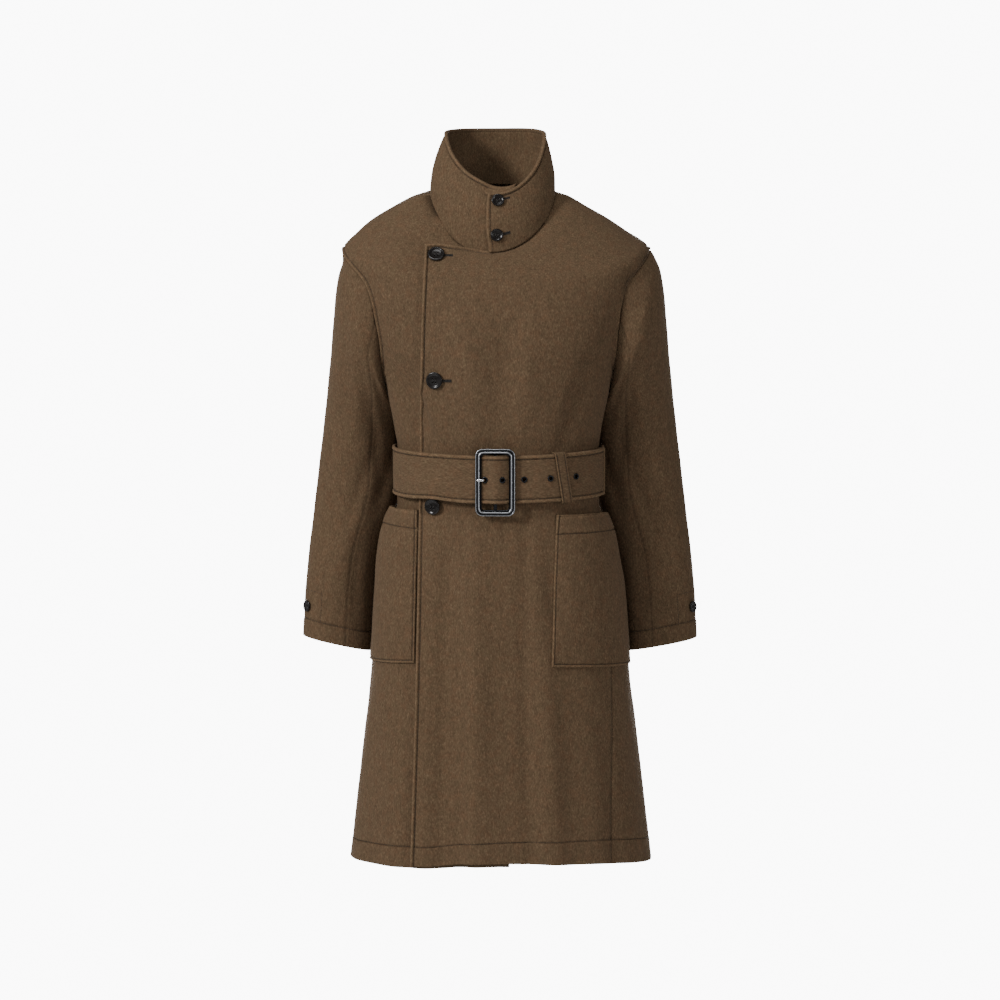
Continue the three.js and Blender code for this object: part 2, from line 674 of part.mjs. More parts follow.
function keeper() {
  const outFace = (turn) => beltOut(turn + 360, 0) + beltThick + layerGap;
  const place = (across, rise, out) => {
    const turn = keeperTurn + (across - keeperLean * rise / beltHalf * 0.6) / 2.6;
    const [point, normal] = beltBase(turn);
    point.addScaledVector(normal, out);
    point.z += rise;
    return point;
  };
  const hem = beltHalf + 0.4;
  const front = outFace(keeperTurn) + 2;
  const rear = firstLayer - 0.4;
  const close = rear - keeperThick;
  const edge = hem + keeperThick;
  const inside = [[hem, front], [0, front], [-hem, front], [-hem, rear], [0, rear], [hem, rear]];
  const outside = [
    [edge, front + keeperThick], [0, front + keeperThick], [-edge, front + keeperThick],
    [-edge, close], [0, close], [edge, close],
  ];
  const acrosses = [-keeperHalf, 0, keeperHalf];
  const loop = (list) => acrosses.map((across) => list.map(([rise, out]) => place(across, rise, out)));
  return wallMesh(loop(outside).reverse(), loop(inside).reverse(), true);
}

// The buckle, a frame with a middle bar, lying in front of the strap
const buckleWide = 65.6;
const buckleTall = 110.7;
const buckleBar = 10.5;
const buckleThick = 5.5;
const barRadius = 3;
const buckleSag = 4;
const buckleOut = secondLayer + beltThick + 1;

function roundedRectangle(path, wide, tall, radius) {
  const x = wide / 2;
  const y = tall / 2;
  path.moveTo(-x + radius, -y);
  path.lineTo(x - radius, -y);
  path.absarc(x - radius, -y + radius, radius, -Math.PI / 2, 0);
  path.lineTo(x, y - radius);
  path.absarc(x - radius, y - radius, radius, 0, Math.PI / 2);
  path.lineTo(-x + radius, y);
  path.absarc(-x + radius, y - radius, radius, Math.PI / 2, Math.PI);
  path.lineTo(-x, -y + radius);
  path.absarc(-x + radius, -y + radius, radius, Math.PI, 1.5 * Math.PI);
  return path;
}

function onBuckle(geometry) {
  const [point, normal] = beltBase(buckleTurn);
  point.z -= buckleSag;
  return facing(geometry, point.addScaledVector(normal, buckleOut), normal);
}

function buckle() {
  const edge = 1.1;
  const outline = roundedRectangle(new THREE.Shape(), buckleWide - 2 * edge, buckleTall - 2 * edge, 11);
  const opening = roundedRectangle(new THREE.Path(), buckleWide - 2 * buckleBar + 2 * edge,
    buckleTall - 2 * buckleBar + 2 * edge, 5);
  outline.holes.push(opening);
  const frame = new THREE.ExtrudeGeometry(outline, {
    depth: buckleThick - 2 * edge, bevelSize: edge, bevelThickness: edge, bevelSegments: 1, curveSegments: 4,
  });
  frame.translate(0, 0, edge);
  const bar = new THREE.CylinderGeometry(barRadius, barRadius, buckleTall - buckleBar, 10);
  bar.translate(0, 0, -barRadius + 1);
  return onBuckle(toGeometry(toManifold(frame).add(toManifold(bar))));
}

// A bent strip's outline, from its middle line and thickness
function bentStrip(line, thick) {
  const points = line.map(([x, y]) => new THREE.Vector2(x, y));
  const sides = points.map((point, i) => {
    const before = points[Math.max(0, i - 1)];
    const after = points[Math.min(points.length - 1, i + 1)];
    const along = after.clone().sub(before).normalize();
    return new THREE.Vector2(-along.y, along.x).multiplyScalar(thick / 2);
  });
  const left = points.map((point, i) => point.clone().add(sides[i]));
  const right = points.map((point, i) => point.clone().sub(sides[i]));
  return new THREE.Shape([...left, ...right.reverse()]);
}

const prongHalf = 1.9;
const prongThick = 2.4;
const prongLine = [
  [-3.8, -3.4], [-10, -4.6], [-14.4, -5.2], [-16.2, -3.8], [-17.4, 2], [-19.2, 5.6], [-22, 7.2], [-30.6, 7.2],
];

function prong() {
  const shape = new THREE.ExtrudeGeometry(bentStrip(prongLine, prongThick), {
    depth: 2 * prongHalf, bevelEnabled: false,
  });
  shape.translate(0, 0, -prongHalf).rotateX(Math.PI / 2).translate(0, buckleSag, 0);
  return onBuckle(shape);
}

// Four-hole buttons with a raised rim
function button(width, thick, place, lift = 0.5) {
  const radius = width / 2;
  const profile = [
    [0, 0], [radius * 0.8, 0], [radius, thick * 0.45], [radius * 0.94, thick * 0.9], [radius * 0.8, thick],
    [radius * 0.64, thick * 0.72], [0, thick * 0.66],
  ].map(([r, z]) => new THREE.Vector2(r, z));
  let solid = toManifold(new THREE.LatheGeometry(profile, 18).rotateX(Math.PI / 2));
  for (const [x, y] of [[1, 1], [-1, 1], [-1, -1], [1, -1]]) {
    const hole = new THREE.CylinderGeometry(width * 0.045, width * 0.045, 3 * thick, 6).rotateX(Math.PI / 2);
    hole.translate(x * width * 0.095, y * width * 0.095, 0);
    solid = solid.subtract(toManifold(hole));
  }
  return facing(toGeometry(solid), place.point.clone().addScaledVector(place.normal, lift), place.normal);
}

function onFront(x, z) {
  const [turn, height] = spot(x, z);
  return { point: bodyPoint(turn, height), normal: bodyNormal(turn, height) };
}

function onCollar(turn, at) {
  const point = collarPoint(turn, at);
  const across = collarPoint(turn + 2, at).sub(collarPoint(turn - 2, at));
  const normal = across.cross(collarPoint(turn, at + 0.02).sub(point)).normalize();
  return { point: point.addScaledVector(normal, collarThick / 2), normal };
}

function onSleeve(side, at, turn) {
  const low = Math.floor(at);
  const part = at - low;
  const here = (offset, angle) => sleevePoint(side, sleeveRows[low + offset], angle, low + offset);
  const point = here(0, turn).lerp(here(1, turn), part);
  const around = here(0, turn + 6).sub(here(0, turn - 6));
  const downwards = here(1, turn).sub(here(0, turn));
  const normal = around.cross(downwards).multiplyScalar(side).normalize();
  return { point, normal: normal.y > 0 ? normal.negate() : normal };
}

// Materials and the finished group
const finishes = {
  wool: new THREE.MeshStandardMaterial({ color: 0x5c4b38, roughness: 0.95, metalness: 0 }),
  horn: new THREE.MeshStandardMaterial({ color: 0x17130f, roughness: 0.18, metalness: 0 }),
  gunmetal: new THREE.MeshStandardMaterial({ color: 0x2b2c2e, roughness: 0.3, metalness: 0.9 }),
  steel: new THREE.MeshStandardMaterial({ color: 0xc9c9c9, roughness: 0.25, metalness: 1 }),
};

const coat = new THREE.Group();

function add(name, geometry, finish) {
  const mesh = new THREE.Mesh(geometry, finishes[finish]);
  mesh.name = name;
  coat.add(mesh);
}

add('front_left', frontLeft(), 'wool');
add('front_right', frontRight(), 'wool');
add('back', back(), 'wool');
add('sleeve_left', sleeve(1), 'wool');
add('sleeve_right', sleeve(-1), 'wool');
add('collar', collar(), 'wool');
for (const [name, size] of Object.entries(pockets)) add(name, pocket(size), 'wool');
add('belt', belt(), 'wool');
add('belt_keeper', keeper(), 'wool');
add('buckle', buckle(), 'gunmetal');
add('buckle_prong', prong(), 'steel');
eyeletXs.forEach((x, i) => add(`eyelet_${i + 1}`, eyelet(x), 'gunmetal'));

const mainButtons = [{ x: -105, z: -104 }, { x: -107, z: -309 }, { ...lowButton, lift: 2.6 }];
mainButtons.forEach(({ x, z, lift }, i) => (
  add(`button_front_${i + 1}`, button(28, 4.6, onFront(x, z), lift), 'horn')
));
const collarButtons = [{ turn: 5, at: 0.86 }, { turn: 5, at: 0.27 }];
collarButtons.forEach(({ turn, at }, i) => (
  add(`button_collar_${i + 1}`, button(21, 4, onCollar(turn, at), 0.15), 'horn')
));
add('button_cuff_left', button(19, 4, onSleeve(1, 10.28, 24)), 'horn');
add('button_cuff_right', button(19, 4, onSleeve(-1, 10.28, 8)), 'horn');

export default coat;
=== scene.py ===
import math

import bpy
import numpy as np
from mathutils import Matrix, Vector


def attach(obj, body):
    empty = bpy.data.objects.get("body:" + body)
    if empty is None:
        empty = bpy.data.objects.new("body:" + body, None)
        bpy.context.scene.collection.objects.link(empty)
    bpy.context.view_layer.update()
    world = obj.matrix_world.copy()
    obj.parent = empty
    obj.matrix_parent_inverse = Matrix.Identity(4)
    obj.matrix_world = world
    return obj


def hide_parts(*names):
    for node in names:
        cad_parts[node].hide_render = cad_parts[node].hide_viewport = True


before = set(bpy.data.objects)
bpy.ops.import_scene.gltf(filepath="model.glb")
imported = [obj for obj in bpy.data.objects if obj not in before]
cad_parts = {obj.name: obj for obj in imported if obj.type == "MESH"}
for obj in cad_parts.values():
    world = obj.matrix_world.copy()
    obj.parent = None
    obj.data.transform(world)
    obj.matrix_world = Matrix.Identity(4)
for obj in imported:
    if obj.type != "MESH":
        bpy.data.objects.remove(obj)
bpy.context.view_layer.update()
print("frame loaded")

# Sizes are in millimetres and degrees until a mesh is made. X is the wearer's left, Y the back.
# A turn runs from the front towards the wearer's left.
metre = 0.001
cloth = 2.4
edgeRound = 1.18  # half the cloth, less what keeps its two walls apart
seamTurn = -0.15  # panels touch at the seams
edgeTop, underarm, hemline = -86, -330, -1111


def reader(at, values):
    at, values = np.array(at, float), np.array(values, float)
    if at[1] < at[0]:
        at, values = at[::-1], values[::-1]
    gaps = np.diff(at)
    rates = np.diff(values) / gaps
    slopes = np.r_[rates[0], np.zeros(len(rates) - 1), rates[-1]]
    product, total = rates[:-1] * rates[1:], rates[:-1] + rates[1:]
    slopes[1:-1] = np.where(product > 0, 2 * product / np.where(product > 0, total, 1), 0)

    def read(value):
        value = np.clip(value, at[0], at[-1])
        i = np.clip(np.searchsorted(at, value, side="right") - 1, 0, len(gaps) - 1)
        t = (value - at[i]) / gaps[i]
        rest = 1 - t
        ends = values[i] * (1 + 2 * t) * rest**2 + values[i + 1] * t * t * (3 - 2 * t)
        return ends + gaps[i] * (slopes[i] * t * rest**2 - slopes[i + 1] * t * t * rest)

    return read


def readers(rows, names):
    columns = list(zip(*rows))
    return {name: reader(columns[0], columns[i + 1]) for i, name in enumerate(names)}


def smooth(low, high, value):
    t = np.clip((value - low) / (high - low), 0, 1)
    return t * t * (3 - 2 * t)


def unit(vectors):
    return vectors / np.maximum(np.linalg.norm(vectors, axis=-1, keepdims=True), 1e-9)


# Rings of the body: height at the side, then centre, half width, reach to front and back,
# squareness, dip in front and rise behind
ring = readers([
    (0, -13.5, 101, 80, 74, 2.0, 99, 12),
    (-4, -14, 118, 84.5, 79, 2.0, 97, 15),
    (-10, -15, 132, 90, 86, 2.05, 93, 17),
    (-30, -16.5, 167, 100, 99, 2.1, 83, 22),
    (-50, -15.5, 200, 108, 109, 2.2, 72, 26),
    (-70, -12.5, 226, 114, 116, 2.3, 60, 27),
    (-97, -6, 255, 121, 123, 2.4, 44, 26),
    (-130, -5, 245, 128, 128, 2.45, 31, 22),
    (-170, -4.5, 232, 134, 131, 2.5, 20, 15),
    (-215, -4, 217, 138, 132, 2.5, 12, 8),
    (-260, -3.5, 205, 140, 131, 2.5, 7, 3),
    (-330, -3, 186, 138, 126, 2.45, 5, 0),
    (-397, -3.5, 172, 131, 117, 2.4, 5, 0),
    (-425, -3, 168.2, 126.4, 114, 2.4, 5, 0),
    (-470, -3, 167.8, 126, 113.6, 2.4, 5, 0),
    (-520, -3, 168.2, 126.4, 114, 2.4, 5, 0),
    (-545, -3, 180, 129, 119.5, 2.4, 4, 0),
    (-572, -2.5, 190.5, 134, 127, 2.4, 3, 0),
    (-605, -2, 197, 138.5, 133, 2.4, 3, 0),
    (-670, 0, 206, 145, 141, 2.35, 2, 0),
    (-792, 0.5, 216, 151, 151, 2.3, 0, 0),
    (-932, 1, 232, 157, 161, 2.25, 0, 0),
    (-1111, 1.5, 252, 164, 171, 2.2, 0, 0),
], ["centre", "half", "front", "back", "power", "dip", "rise"])

# Folds: turn and height where each starts, turn and height where it ends, half width in degrees,
# depth inwards (a ridge is below nought), and whether it runs on open to its lower end
folds = [
    (-39, -560, -30, -1111, 11, 4.5, True),
    (2, -600, 10, -1111, 12, 5, True),
    (38, -640, 44, -1111, 8, 4, True),
    (-72, -700, -68, -1111, 9, 4, True),
    (118, -560, 112, -1111, 10, 7, True),
    (152, -600, 150, -1111, 9, 9, True),
    (198, -540, 203, -1111, 9, 8, True),
    (242, -600, 240, -1111, 9, 6, True),
    (150, -300, 144, -455, 7, 4, False),
    (205, -310, 212, -455, 7, 4, False),
    (48, -230, 36, -455, 7, 4, False),
    (-58, -230, -50, -455, 6, 4, False),
    # Creases that show mainly as shading
    (-29, -400, -26, -1111, 6.0, 8.0, True),
    (-36, -390, -35, -1111, 4.5, 8.0, True),
    (-16, -400, -15, -1111, 7.0, -5.0, True),
    (-31, -508, -33, -760, 6.0, 3.5, False),
    (35, -508, 31, -800, 5.5, 6.5, False),
    (-72, -205, -48, -456, 6.0, 9.0, False),
    (-60, -250, -40, -444, 3.4, 5.5, False),
    (-50, -270, -34, -444, 3.4, -3.6, False),
    (60, -215, 41, -456, 4.6, 8.5, False),
    (50, -240, 34, -450, 4.0, -3.5, False),
    (8, -120, 2, -440, 12.0, 6.0, False),
    (-22, -140, -16, -440, 9.0, -4.5, False),
    (20, -150, 16, -440, 6.0, -3.0, False),
    (27, -330, 30, -440, 2.4, 1.3, False),
    (-16, -395, -12, -446, 4.0, 1.2, False),
    (12, -380, 9, -452, 3.6, 2.0, False),
    (-28, -408, -30, -450, 2.8, 1.0, False),
    (-24, -512, -21, -610, 3.2, 1.8, False),
    (4, -508, 6, -600, 3.2, 2.4, False),
    (20, -506, 18, -680, 4.0, 4.0, False),
    (-12, -560, -14, -1020, 5.0, -1.6, False),
    (25, -480, 30, -1111, 5.5, -5.0, True),
    (14, -470, 18, -1111, 5.0, 6.0, True),
    (56, -790, 60, -1111, 5.0, 5.0, True),
    (-50, -790, -54, -1111, 5.0, -3.6, True),
    (-84, -560, -86, -1080, 6.0, 2.2, False),
    (86, -600, 82, -1080, 6.0, 2.4, False),
    (132, -330, 128, -450, 4.0, 2.0, False),
    (168, -360, 170, -450, 4.0, 1.6, False),
    (188, -350, 186, -452, 4.0, 1.4, False),
    (226, -335, 230, -450, 4.0, 2.2, False),
    (136, -510, 131, -660, 4.0, 2.2, False),
    (176, -508, 178, -690, 5.0, 2.0, False),
    (218, -508, 222, -650, 4.0, 2.0, False),
    (172, -640, 176, -1111, 6.0, -2.4, True),
    (226, -700, 222, -1111, 5.0, -2.0, True),
    (130, -720, 132, -1111, 5.0, -2.0, True),
]


def foldAt(turn, z):
    total = np.zeros(np.broadcast(turn, z).shape)
    for turnStart, start, turnEnd, end, wide, deep, runsOn in folds:
        along = (z - start) / (end - start)
        middle = turnStart + (turnEnd - turnStart) * np.clip(along, 0, 1)
        aside = (turn - middle + 540) % 360 - 180
        if runsOn:
            fade = smooth(0, 0.7, along)
        else:
            fade = smooth(0, 0.5, along) * (1 - smooth(0.5, 1, along))
        total -= deep * fade * np.exp(-((aside / wide) ** 2))
    # Slight unevenness of cloth that hangs free
    rough = 0.34 * np.sin(turn * 0.31 + z * 0.017) * np.sin(z * 0.043 + turn * 0.09)
    rough += 0.26 * np.sin(turn * 0.53 - z * 0.031 + 1.7) * np.sin(z * 0.071 - turn * 0.13)
    seam = np.exp(-(((turn % 180) - 90) / 2.5) ** 2) * (z > underarm)
    return total + rough * smooth(0, -60, z) * (1 - seam)


def reachAt(turn, z):
    side, ahead = np.sin(np.radians(turn)), np.cos(np.radians(turn))
    half, power = ring["half"](z), ring["power"](z)
    depth = np.where(ahead > 0, ring["front"](z), ring["back"](z))
    reach = (np.abs(side / half) ** power + np.abs(ahead / depth) ** power) ** (-1 / power)
    return half, reach, (reach * np.abs(ahead) / depth) ** np.where(ahead > 0, 1.3, 1.15)


def bodyPoint(turn, z):
    turn, z = np.broadcast_arrays(np.asarray(turn, float), np.asarray(z, float))
    side, ahead = np.sin(np.radians(turn)), np.cos(np.radians(turn))
    _, reach, share = reachAt(turn, z)
    out = reach + foldAt(turn, z)
    lift = np.where(ahead > 0, -ring["dip"](z), ring["rise"](z)) * share
    return np.stack([ring["centre"](z) + out * side, -out * ahead, z + lift], -1)


def bodyNormal(turn, z):
    around = bodyPoint(turn + 0.4, z) - bodyPoint(turn - 0.4, z)
    up = bodyPoint(turn, np.minimum(0, z + 1.5)) - bodyPoint(turn, z - 1.5)
    return unit(np.cross(around, up))


# Where on the front a point shows at the given x and z
def spot(x, z):
    x, z = np.broadcast_arrays(np.asarray(x, float), np.asarray(z, float))
    height = z.copy()
    for _ in range(18):
        low, high = np.full(x.shape, -89.9), np.full(x.shape, 89.9)
        for _ in range(20):
            middle = (low + high) / 2
            short = bodyPoint(middle, height)[..., 0] < x
            low, high = np.where(short, middle, low), np.where(short, high, middle)
        height = np.minimum(0, height + 0.8 * (z - bodyPoint(low, height)[..., 2]))
    return low, height


# The cloth plane: half width times turn across, and true height
def toPlane(turn, z, middle):
    half, _, share = reachAt(turn, z)
    ahead = np.cos(np.radians(turn)) > 0
    height = z + np.where(ahead, -ring["dip"](z), ring["rise"](z)) * share
    return np.stack([half * np.radians(turn - middle), height], -1)


def fromPlane(place, middle):
    z = np.minimum(0, place[..., 1])
    turn = middle + np.degrees(place[..., 0] / ring["half"](z))
    for _ in range(24):
        here = toPlane(turn, z, middle)
        miss = place - here
        around = (toPlane(turn + 0.1, z, middle) - here) / 0.1
        upwards = (here - toPlane(turn, z - 0.4, middle)) / 0.4
        det = around[..., 0] * upwards[..., 1] - around[..., 1] * upwards[..., 0]
        aside = (miss[..., 0] * upwards[..., 1] - miss[..., 1] * upwards[..., 0]) / det
        rise = (around[..., 0] * miss[..., 1] - around[..., 1] * miss[..., 0]) / det
        turn = turn + np.clip(aside, -6, 6)
        z = np.minimum(0, z + np.clip(rise, -20, 20))
    return turn, z


# Moves a line on the body sideways over the cloth, to the left of its run seen from outside
def inset(turn, z, by):
    for _ in range(3):
        point = bodyPoint(turn, z)
        tangent = unit(np.gradient(point, axis=0))
        aside = np.cross(bodyNormal(turn, z), tangent) * (by / 3)
        around = (bodyPoint(turn + 0.2, z) - bodyPoint(turn - 0.2, z)) / 0.4
        above = np.minimum(0, z + 1)
        upwards = (bodyPoint(turn, above) - bodyPoint(turn, z - 1)) / (above - z + 1)[:, None]
        a, b, c = (around**2).sum(-1), (around * upwards).sum(-1), (upwards**2).sum(-1)
        p, q = (around * aside).sum(-1), (upwards * aside).sum(-1)
        det = a * c - b * b
        turn, z = turn + (c * p - b * q) / det, np.minimum(0, z + (a * q - b * p) / det)
    return turn, z


# Finds how far points lie from a line
def distance(points, line):
    flat = points.reshape(-1, 3)
    best = np.full(len(flat), 1e9)
    start, step = line[:-1], np.diff(line, axis=0)
    long = np.maximum((step**2).sum(-1), 1e-9)
    for low in range(0, len(flat), 4000):
        part = flat[low:low + 4000, None, :] - start[None]
        t = np.clip((part * step).sum(-1) / long, 0, 1)
        gap = part - t[..., None] * step
        best[low:low + 4000] = np.sqrt((gap**2).sum(-1).min(-1))
    return best.reshape(points.shape[:-1])


# Steps through the numbered lines of a table, with extra lines where asked
def positions(last, each, extra=()):
    plain = np.linspace(0, last, round(last * each) + 1)
    plain = [p for p in plain if not any(low < p < high for low, high, _ in extra)]
    fine = [p for low, high, count in extra for p in np.linspace(low, high, count)]
    return np.unique(np.round(np.r_[plain, fine], 5))


def makeObject(name, points, faces, materials, smoothed=True):
    mesh = bpy.data.meshes.new(name)
    mesh.from_pydata((np.asarray(points).reshape(-1, 3) * metre).tolist(), [], faces)
    mesh.update()
    for material in materials if isinstance(materials, (list, tuple)) else [materials]:
        mesh.materials.append(material)
    mesh.shade_smooth() if smoothed else mesh.shade_flat()
    made = bpy.data.objects.new(name, mesh)
    bpy.context.scene.collection.objects.link(made)
    return made


# Closed wall of quads from two grids of points. A ring grid is also closed on itself.
def wallFaces(rows, columns, ringed):
    last = columns if ringed else columns - 1
    j, i = np.meshgrid(np.arange(rows - 1), np.arange(last), indexing="ij")
    a, b = j * columns + i, j * columns + (i + 1) % columns
    inside = rows * columns
    front = np.stack([a, a + columns, b + columns, b], -1).reshape(-1, 4)
    rear = np.stack([a, b, b + columns, a + columns], -1).reshape(-1, 4) + inside
    i = np.arange(last)
    n, foot = (i + 1) % columns, (rows - 1) * columns
    rims = [np.stack([i, n, inside + n, inside + i], -1),
            np.stack([foot + n, foot + i, inside + foot + i, inside + foot + n], -1)]
    if not ringed:
        a = np.arange(rows - 1) * columns
        b = a + columns - 1
        rims.append(np.stack([a + columns, a, inside + a, inside + a + columns], -1))
        rims.append(np.stack([b, b + columns, inside + b + columns, inside + b], -1))
    return np.concatenate([front, rear, *rims]).tolist()


def wallObject(name, outer, inner, material, ringed=False, paintedLight=None):
    rows, columns = outer.shape[:2]
    points = np.concatenate([outer.reshape(-1, 3), inner.reshape(-1, 3)])
    made = makeObject(name, points, wallFaces(rows, columns, ringed), material)
    # A point attribute of painted light on the outer wall: above nought it is a painted highlight,
    # below nought painted shade
    if paintedLight is not None:
        values = np.concatenate([paintedLight.ravel(), np.zeros(rows * columns)]).astype(np.float32)
        made.data.attributes.new("paintedLight", "FLOAT", "POINT").data.foreach_set("value", values)
    return made


# Rounding of a cloth's rim: how far its face sinks at a distance from the edge
def rim(gap, radius):
    t = np.clip(1 - gap / radius, 0, 1)
    return -radius * (1 - np.sqrt(np.maximum(0, 1 - t * t)))


def groove(gap, at, deep, wide=1.0):
    return -deep * np.exp(-(((gap - at) / wide) ** 2))


# A cloth's swell between its edge and a stitch line, and the stitches' groove
def rolled(gap, stitch, swell, deep):
    t = np.clip(gap / stitch, 0, 1)
    return swell * np.sin(np.pi * t) ** 0.6 * (gap < stitch) + groove(gap, stitch, deep, 1.5)


# Painted light: a painted highlight on the swell between a pressed edge and its stitch line, and
# painted shade in the stitches' groove
def paintedEdgeLight(gap, stitch):
    t = np.clip(gap / stitch, 0, 1)
    return np.sin(np.pi * t) ** 0.6 * (gap < stitch) - 1.1 * np.exp(-(((gap - stitch) / 1.3) ** 2))


# Painted shade along a seam or a stitch line
def paintedLineShade(gap, at, strength=1.0):
    return -strength * np.exp(-(((gap - at) / 1.3) ** 2))


# Small puckers that fade away from a stitch line
def puckers(points, gap, at, height):
    x, z = points[..., 0], points[..., 2]
    wave = np.sin(z * 0.61 + x * 0.47 + 1.3 * np.sin(z * 0.13))
    wave = wave + 0.6 * np.sin(x * 0.83 - z * 0.29 + 2.1)
    return height * wave * np.exp(-(((gap - at) / 5.5) ** 2)) * smooth(0, 3, gap)


# Sockets by name, so that constants go straight on the shader's inputs
def node(tree, kind, place=(0, 0), **values):
    made = tree.nodes.new(kind)
    made.location = place
    for key, value in values.items():
        setattr(made, key, value)
    return made


def noise(tree, vector, scale, detail, rough, place):
    made = node(tree, "ShaderNodeTexNoise", place)
    made.inputs["Scale"].default_value = scale
    made.inputs["Detail"].default_value = detail
    made.inputs["Roughness"].default_value = rough
    tree.links.new(vector, made.inputs["Vector"])
    return made.outputs["Fac"]


def ramp(tree, factor, stops, place):
    made = node(tree, "ShaderNodeValToRGB", place)
    while len(made.color_ramp.elements) < len(stops):
        made.color_ramp.elements.new(0.5)
    for element, (at, colour) in zip(made.color_ramp.elements, stops):
        element.position = at
        element.color = (*colour, 1)
    tree.links.new(factor, made.inputs["Fac"])
    return made.outputs["Color"]


def mixed(tree, way, amount, first, second, place):
    made = node(tree, "ShaderNodeMix", place, data_type="RGBA", blend_type=way)
    made.inputs["Factor"].default_value = amount
    tree.links.new(first, made.inputs[6])
    tree.links.new(second, made.inputs[7])
    return made.outputs[2]


def blankMaterial(name):
    made = bpy.data.materials.new(name)
    made.use_nodes = True
    return made, made.node_tree, made.node_tree.nodes["Principled BSDF"]


# Heathered melton: short flecks along the grain, mottled patches, painted highlights on edge rolls
# with painted shade in grooves and seams, and a fine nap
woolLook = {
    "dark": (0.07, 0.043, 0.0225), "plain": (0.097, 0.0605, 0.033), "warm": (0.109, 0.069, 0.038),
    "pale": (0.16, 0.106, 0.061), "sheen": (0.62, 0.46, 0.33), "sheenAmount": 0.1,
    "flecks": 520, "patches": 75, "clouds": 160, "mottle": 0.5, "paintedLightAmount": 0.3, "nap": 0.55,
    "slub": 0.4,
}


def woolMaterial(name, tone, run=(1, 1, 0.42), rough=1.0):
    made, tree, shader = blankMaterial(name)
    place = node(tree, "ShaderNodeTexCoord", (-1400, 0)).outputs["Object"]
    grain = node(tree, "ShaderNodeMapping", (-1200, 200))
    grain.inputs["Scale"].default_value = run
    tree.links.new(place, grain.inputs["Vector"])
    grain = grain.outputs["Vector"]
    fleck = noise(tree, grain, woolLook["flecks"], 3, 0.62, (-950, 300))
    stops = zip((0.3, 0.47, 0.56, 0.74), ("dark", "plain", "warm", "pale"))
    colour = ramp(tree, fleck, [
        (at, tuple(part * tone for part in woolLook[shade])) for at, shade in stops
    ], (-700, 300))
    patch = ramp(tree, noise(tree, place, woolLook["patches"], 4, 0.6, (-950, 0)), [
        (0.34, (1.1, 0.97, 0.92)), (0.5, (1.0, 1.0, 1.0)), (0.66, (0.94, 1.0, 0.96)),
    ], (-700, 0))
    colour = mixed(tree, "MULTIPLY", woolLook["mottle"], colour, patch, (-400, 200))
    cloud = ramp(tree, noise(tree, grain, woolLook["clouds"], 3, 0.6, (-950, -250)), [
        (0.3, (0.87, 0.87, 0.87)), (0.7, (1.12, 1.12, 1.12)),
    ], (-700, -250))
    colour = mixed(tree, "MULTIPLY", 0.9, colour, cloud, (-200, 100))
    # Painted light from the pieces' attribute: the colour is made paler where a painted highlight lies
    # on an edge roll, and darker where painted shade lies in a groove or seam
    paintedLight = node(tree, "ShaderNodeAttribute", (-700, -450), attribute_name="paintedLight")
    paintedLightAmount = node(tree, "ShaderNodeMath", (-450, -350), operation="MULTIPLY_ADD")
    paintedLightAmount.inputs[1].default_value = woolLook["paintedLightAmount"]
    paintedLightAmount.inputs[2].default_value = 1.0
    tree.links.new(paintedLight.outputs["Fac"], paintedLightAmount.inputs[0])
    colour = mixed(tree, "MULTIPLY", 1.0, colour, paintedLightAmount.outputs[0], (-60, 100))
    tree.links.new(colour, shader.inputs["Base Color"])
    shader.inputs["Roughness"].default_value = 0.93
    shader.inputs["Specular IOR Level"].default_value = 0.18
    shader.inputs["Sheen Weight"].default_value = woolLook["sheenAmount"]
    shader.inputs["Sheen Roughness"].default_value = 0.45
    shader.inputs["Sheen Tint"].default_value = (*woolLook["sheen"], 1)
    nap = noise(tree, place, 900, 4, 0.7, (-950, -500))
    bump = node(tree, "ShaderNodeBump", (-250, -400))
    bump.inputs["Strength"].default_value = woolLook["nap"]
    bump.inputs["Distance"].default_value = 0.0006
    tree.links.new(nap, bump.inputs["Height"])
    wide = node(tree, "ShaderNodeBump", (-50, -500))
    wide.inputs["Strength"].default_value = woolLook["slub"]
    wide.inputs["Distance"].default_value = 0.0012 * rough
    tree.links.new(noise(tree, grain, 210, 3, 0.6, (-950, -750)), wide.inputs["Height"])
    tree.links.new(bump.outputs["Normal"], wide.inputs["Normal"])
    tree.links.new(wide.outputs["Normal"], shader.inputs["Normal"])
    return made


def plainMaterial(name, colour, rough, metal=0.0, coat=0.0, uneven=0.0):
    made, tree, shader = blankMaterial(name)
    shader.inputs["Base Color"].default_value = (*colour, 1)
    shader.inputs["Roughness"].default_value = rough
    shader.inputs["Metallic"].default_value = metal
    shader.inputs["Coat Weight"].default_value = coat
    shader.inputs["Coat Roughness"].default_value = 0.08
    if uneven:
        place = node(tree, "ShaderNodeTexCoord", (-900, 0)).outputs["Object"]
        bump = node(tree, "ShaderNodeBump", (-250, -200))
        bump.inputs["Strength"].default_value = uneven
        bump.inputs["Distance"].default_value = 0.0004
        tree.links.new(noise(tree, place, 260, 2, 0.5, (-600, -200)), bump.inputs["Height"])
        tree.links.new(bump.outputs["Normal"], shader.inputs["Normal"])
    return made


wool = woolMaterial("wool", 0.85)
beltWool = woolMaterial("beltWool", 0.88, (0.4, 0.4, 1.4), 2.2)
thread = plainMaterial("thread", (0.03, 0.019, 0.011), 0.85)
darkThread = plainMaterial("darkThread", (0.012, 0.009, 0.007), 0.7)
slitDark = plainMaterial("slitShadow", (0.004, 0.003, 0.0025), 0.95)
gunmetal = plainMaterial("gunmetal", (0.02, 0.021, 0.024), 0.34, 1.0, 0.05, 0.12)
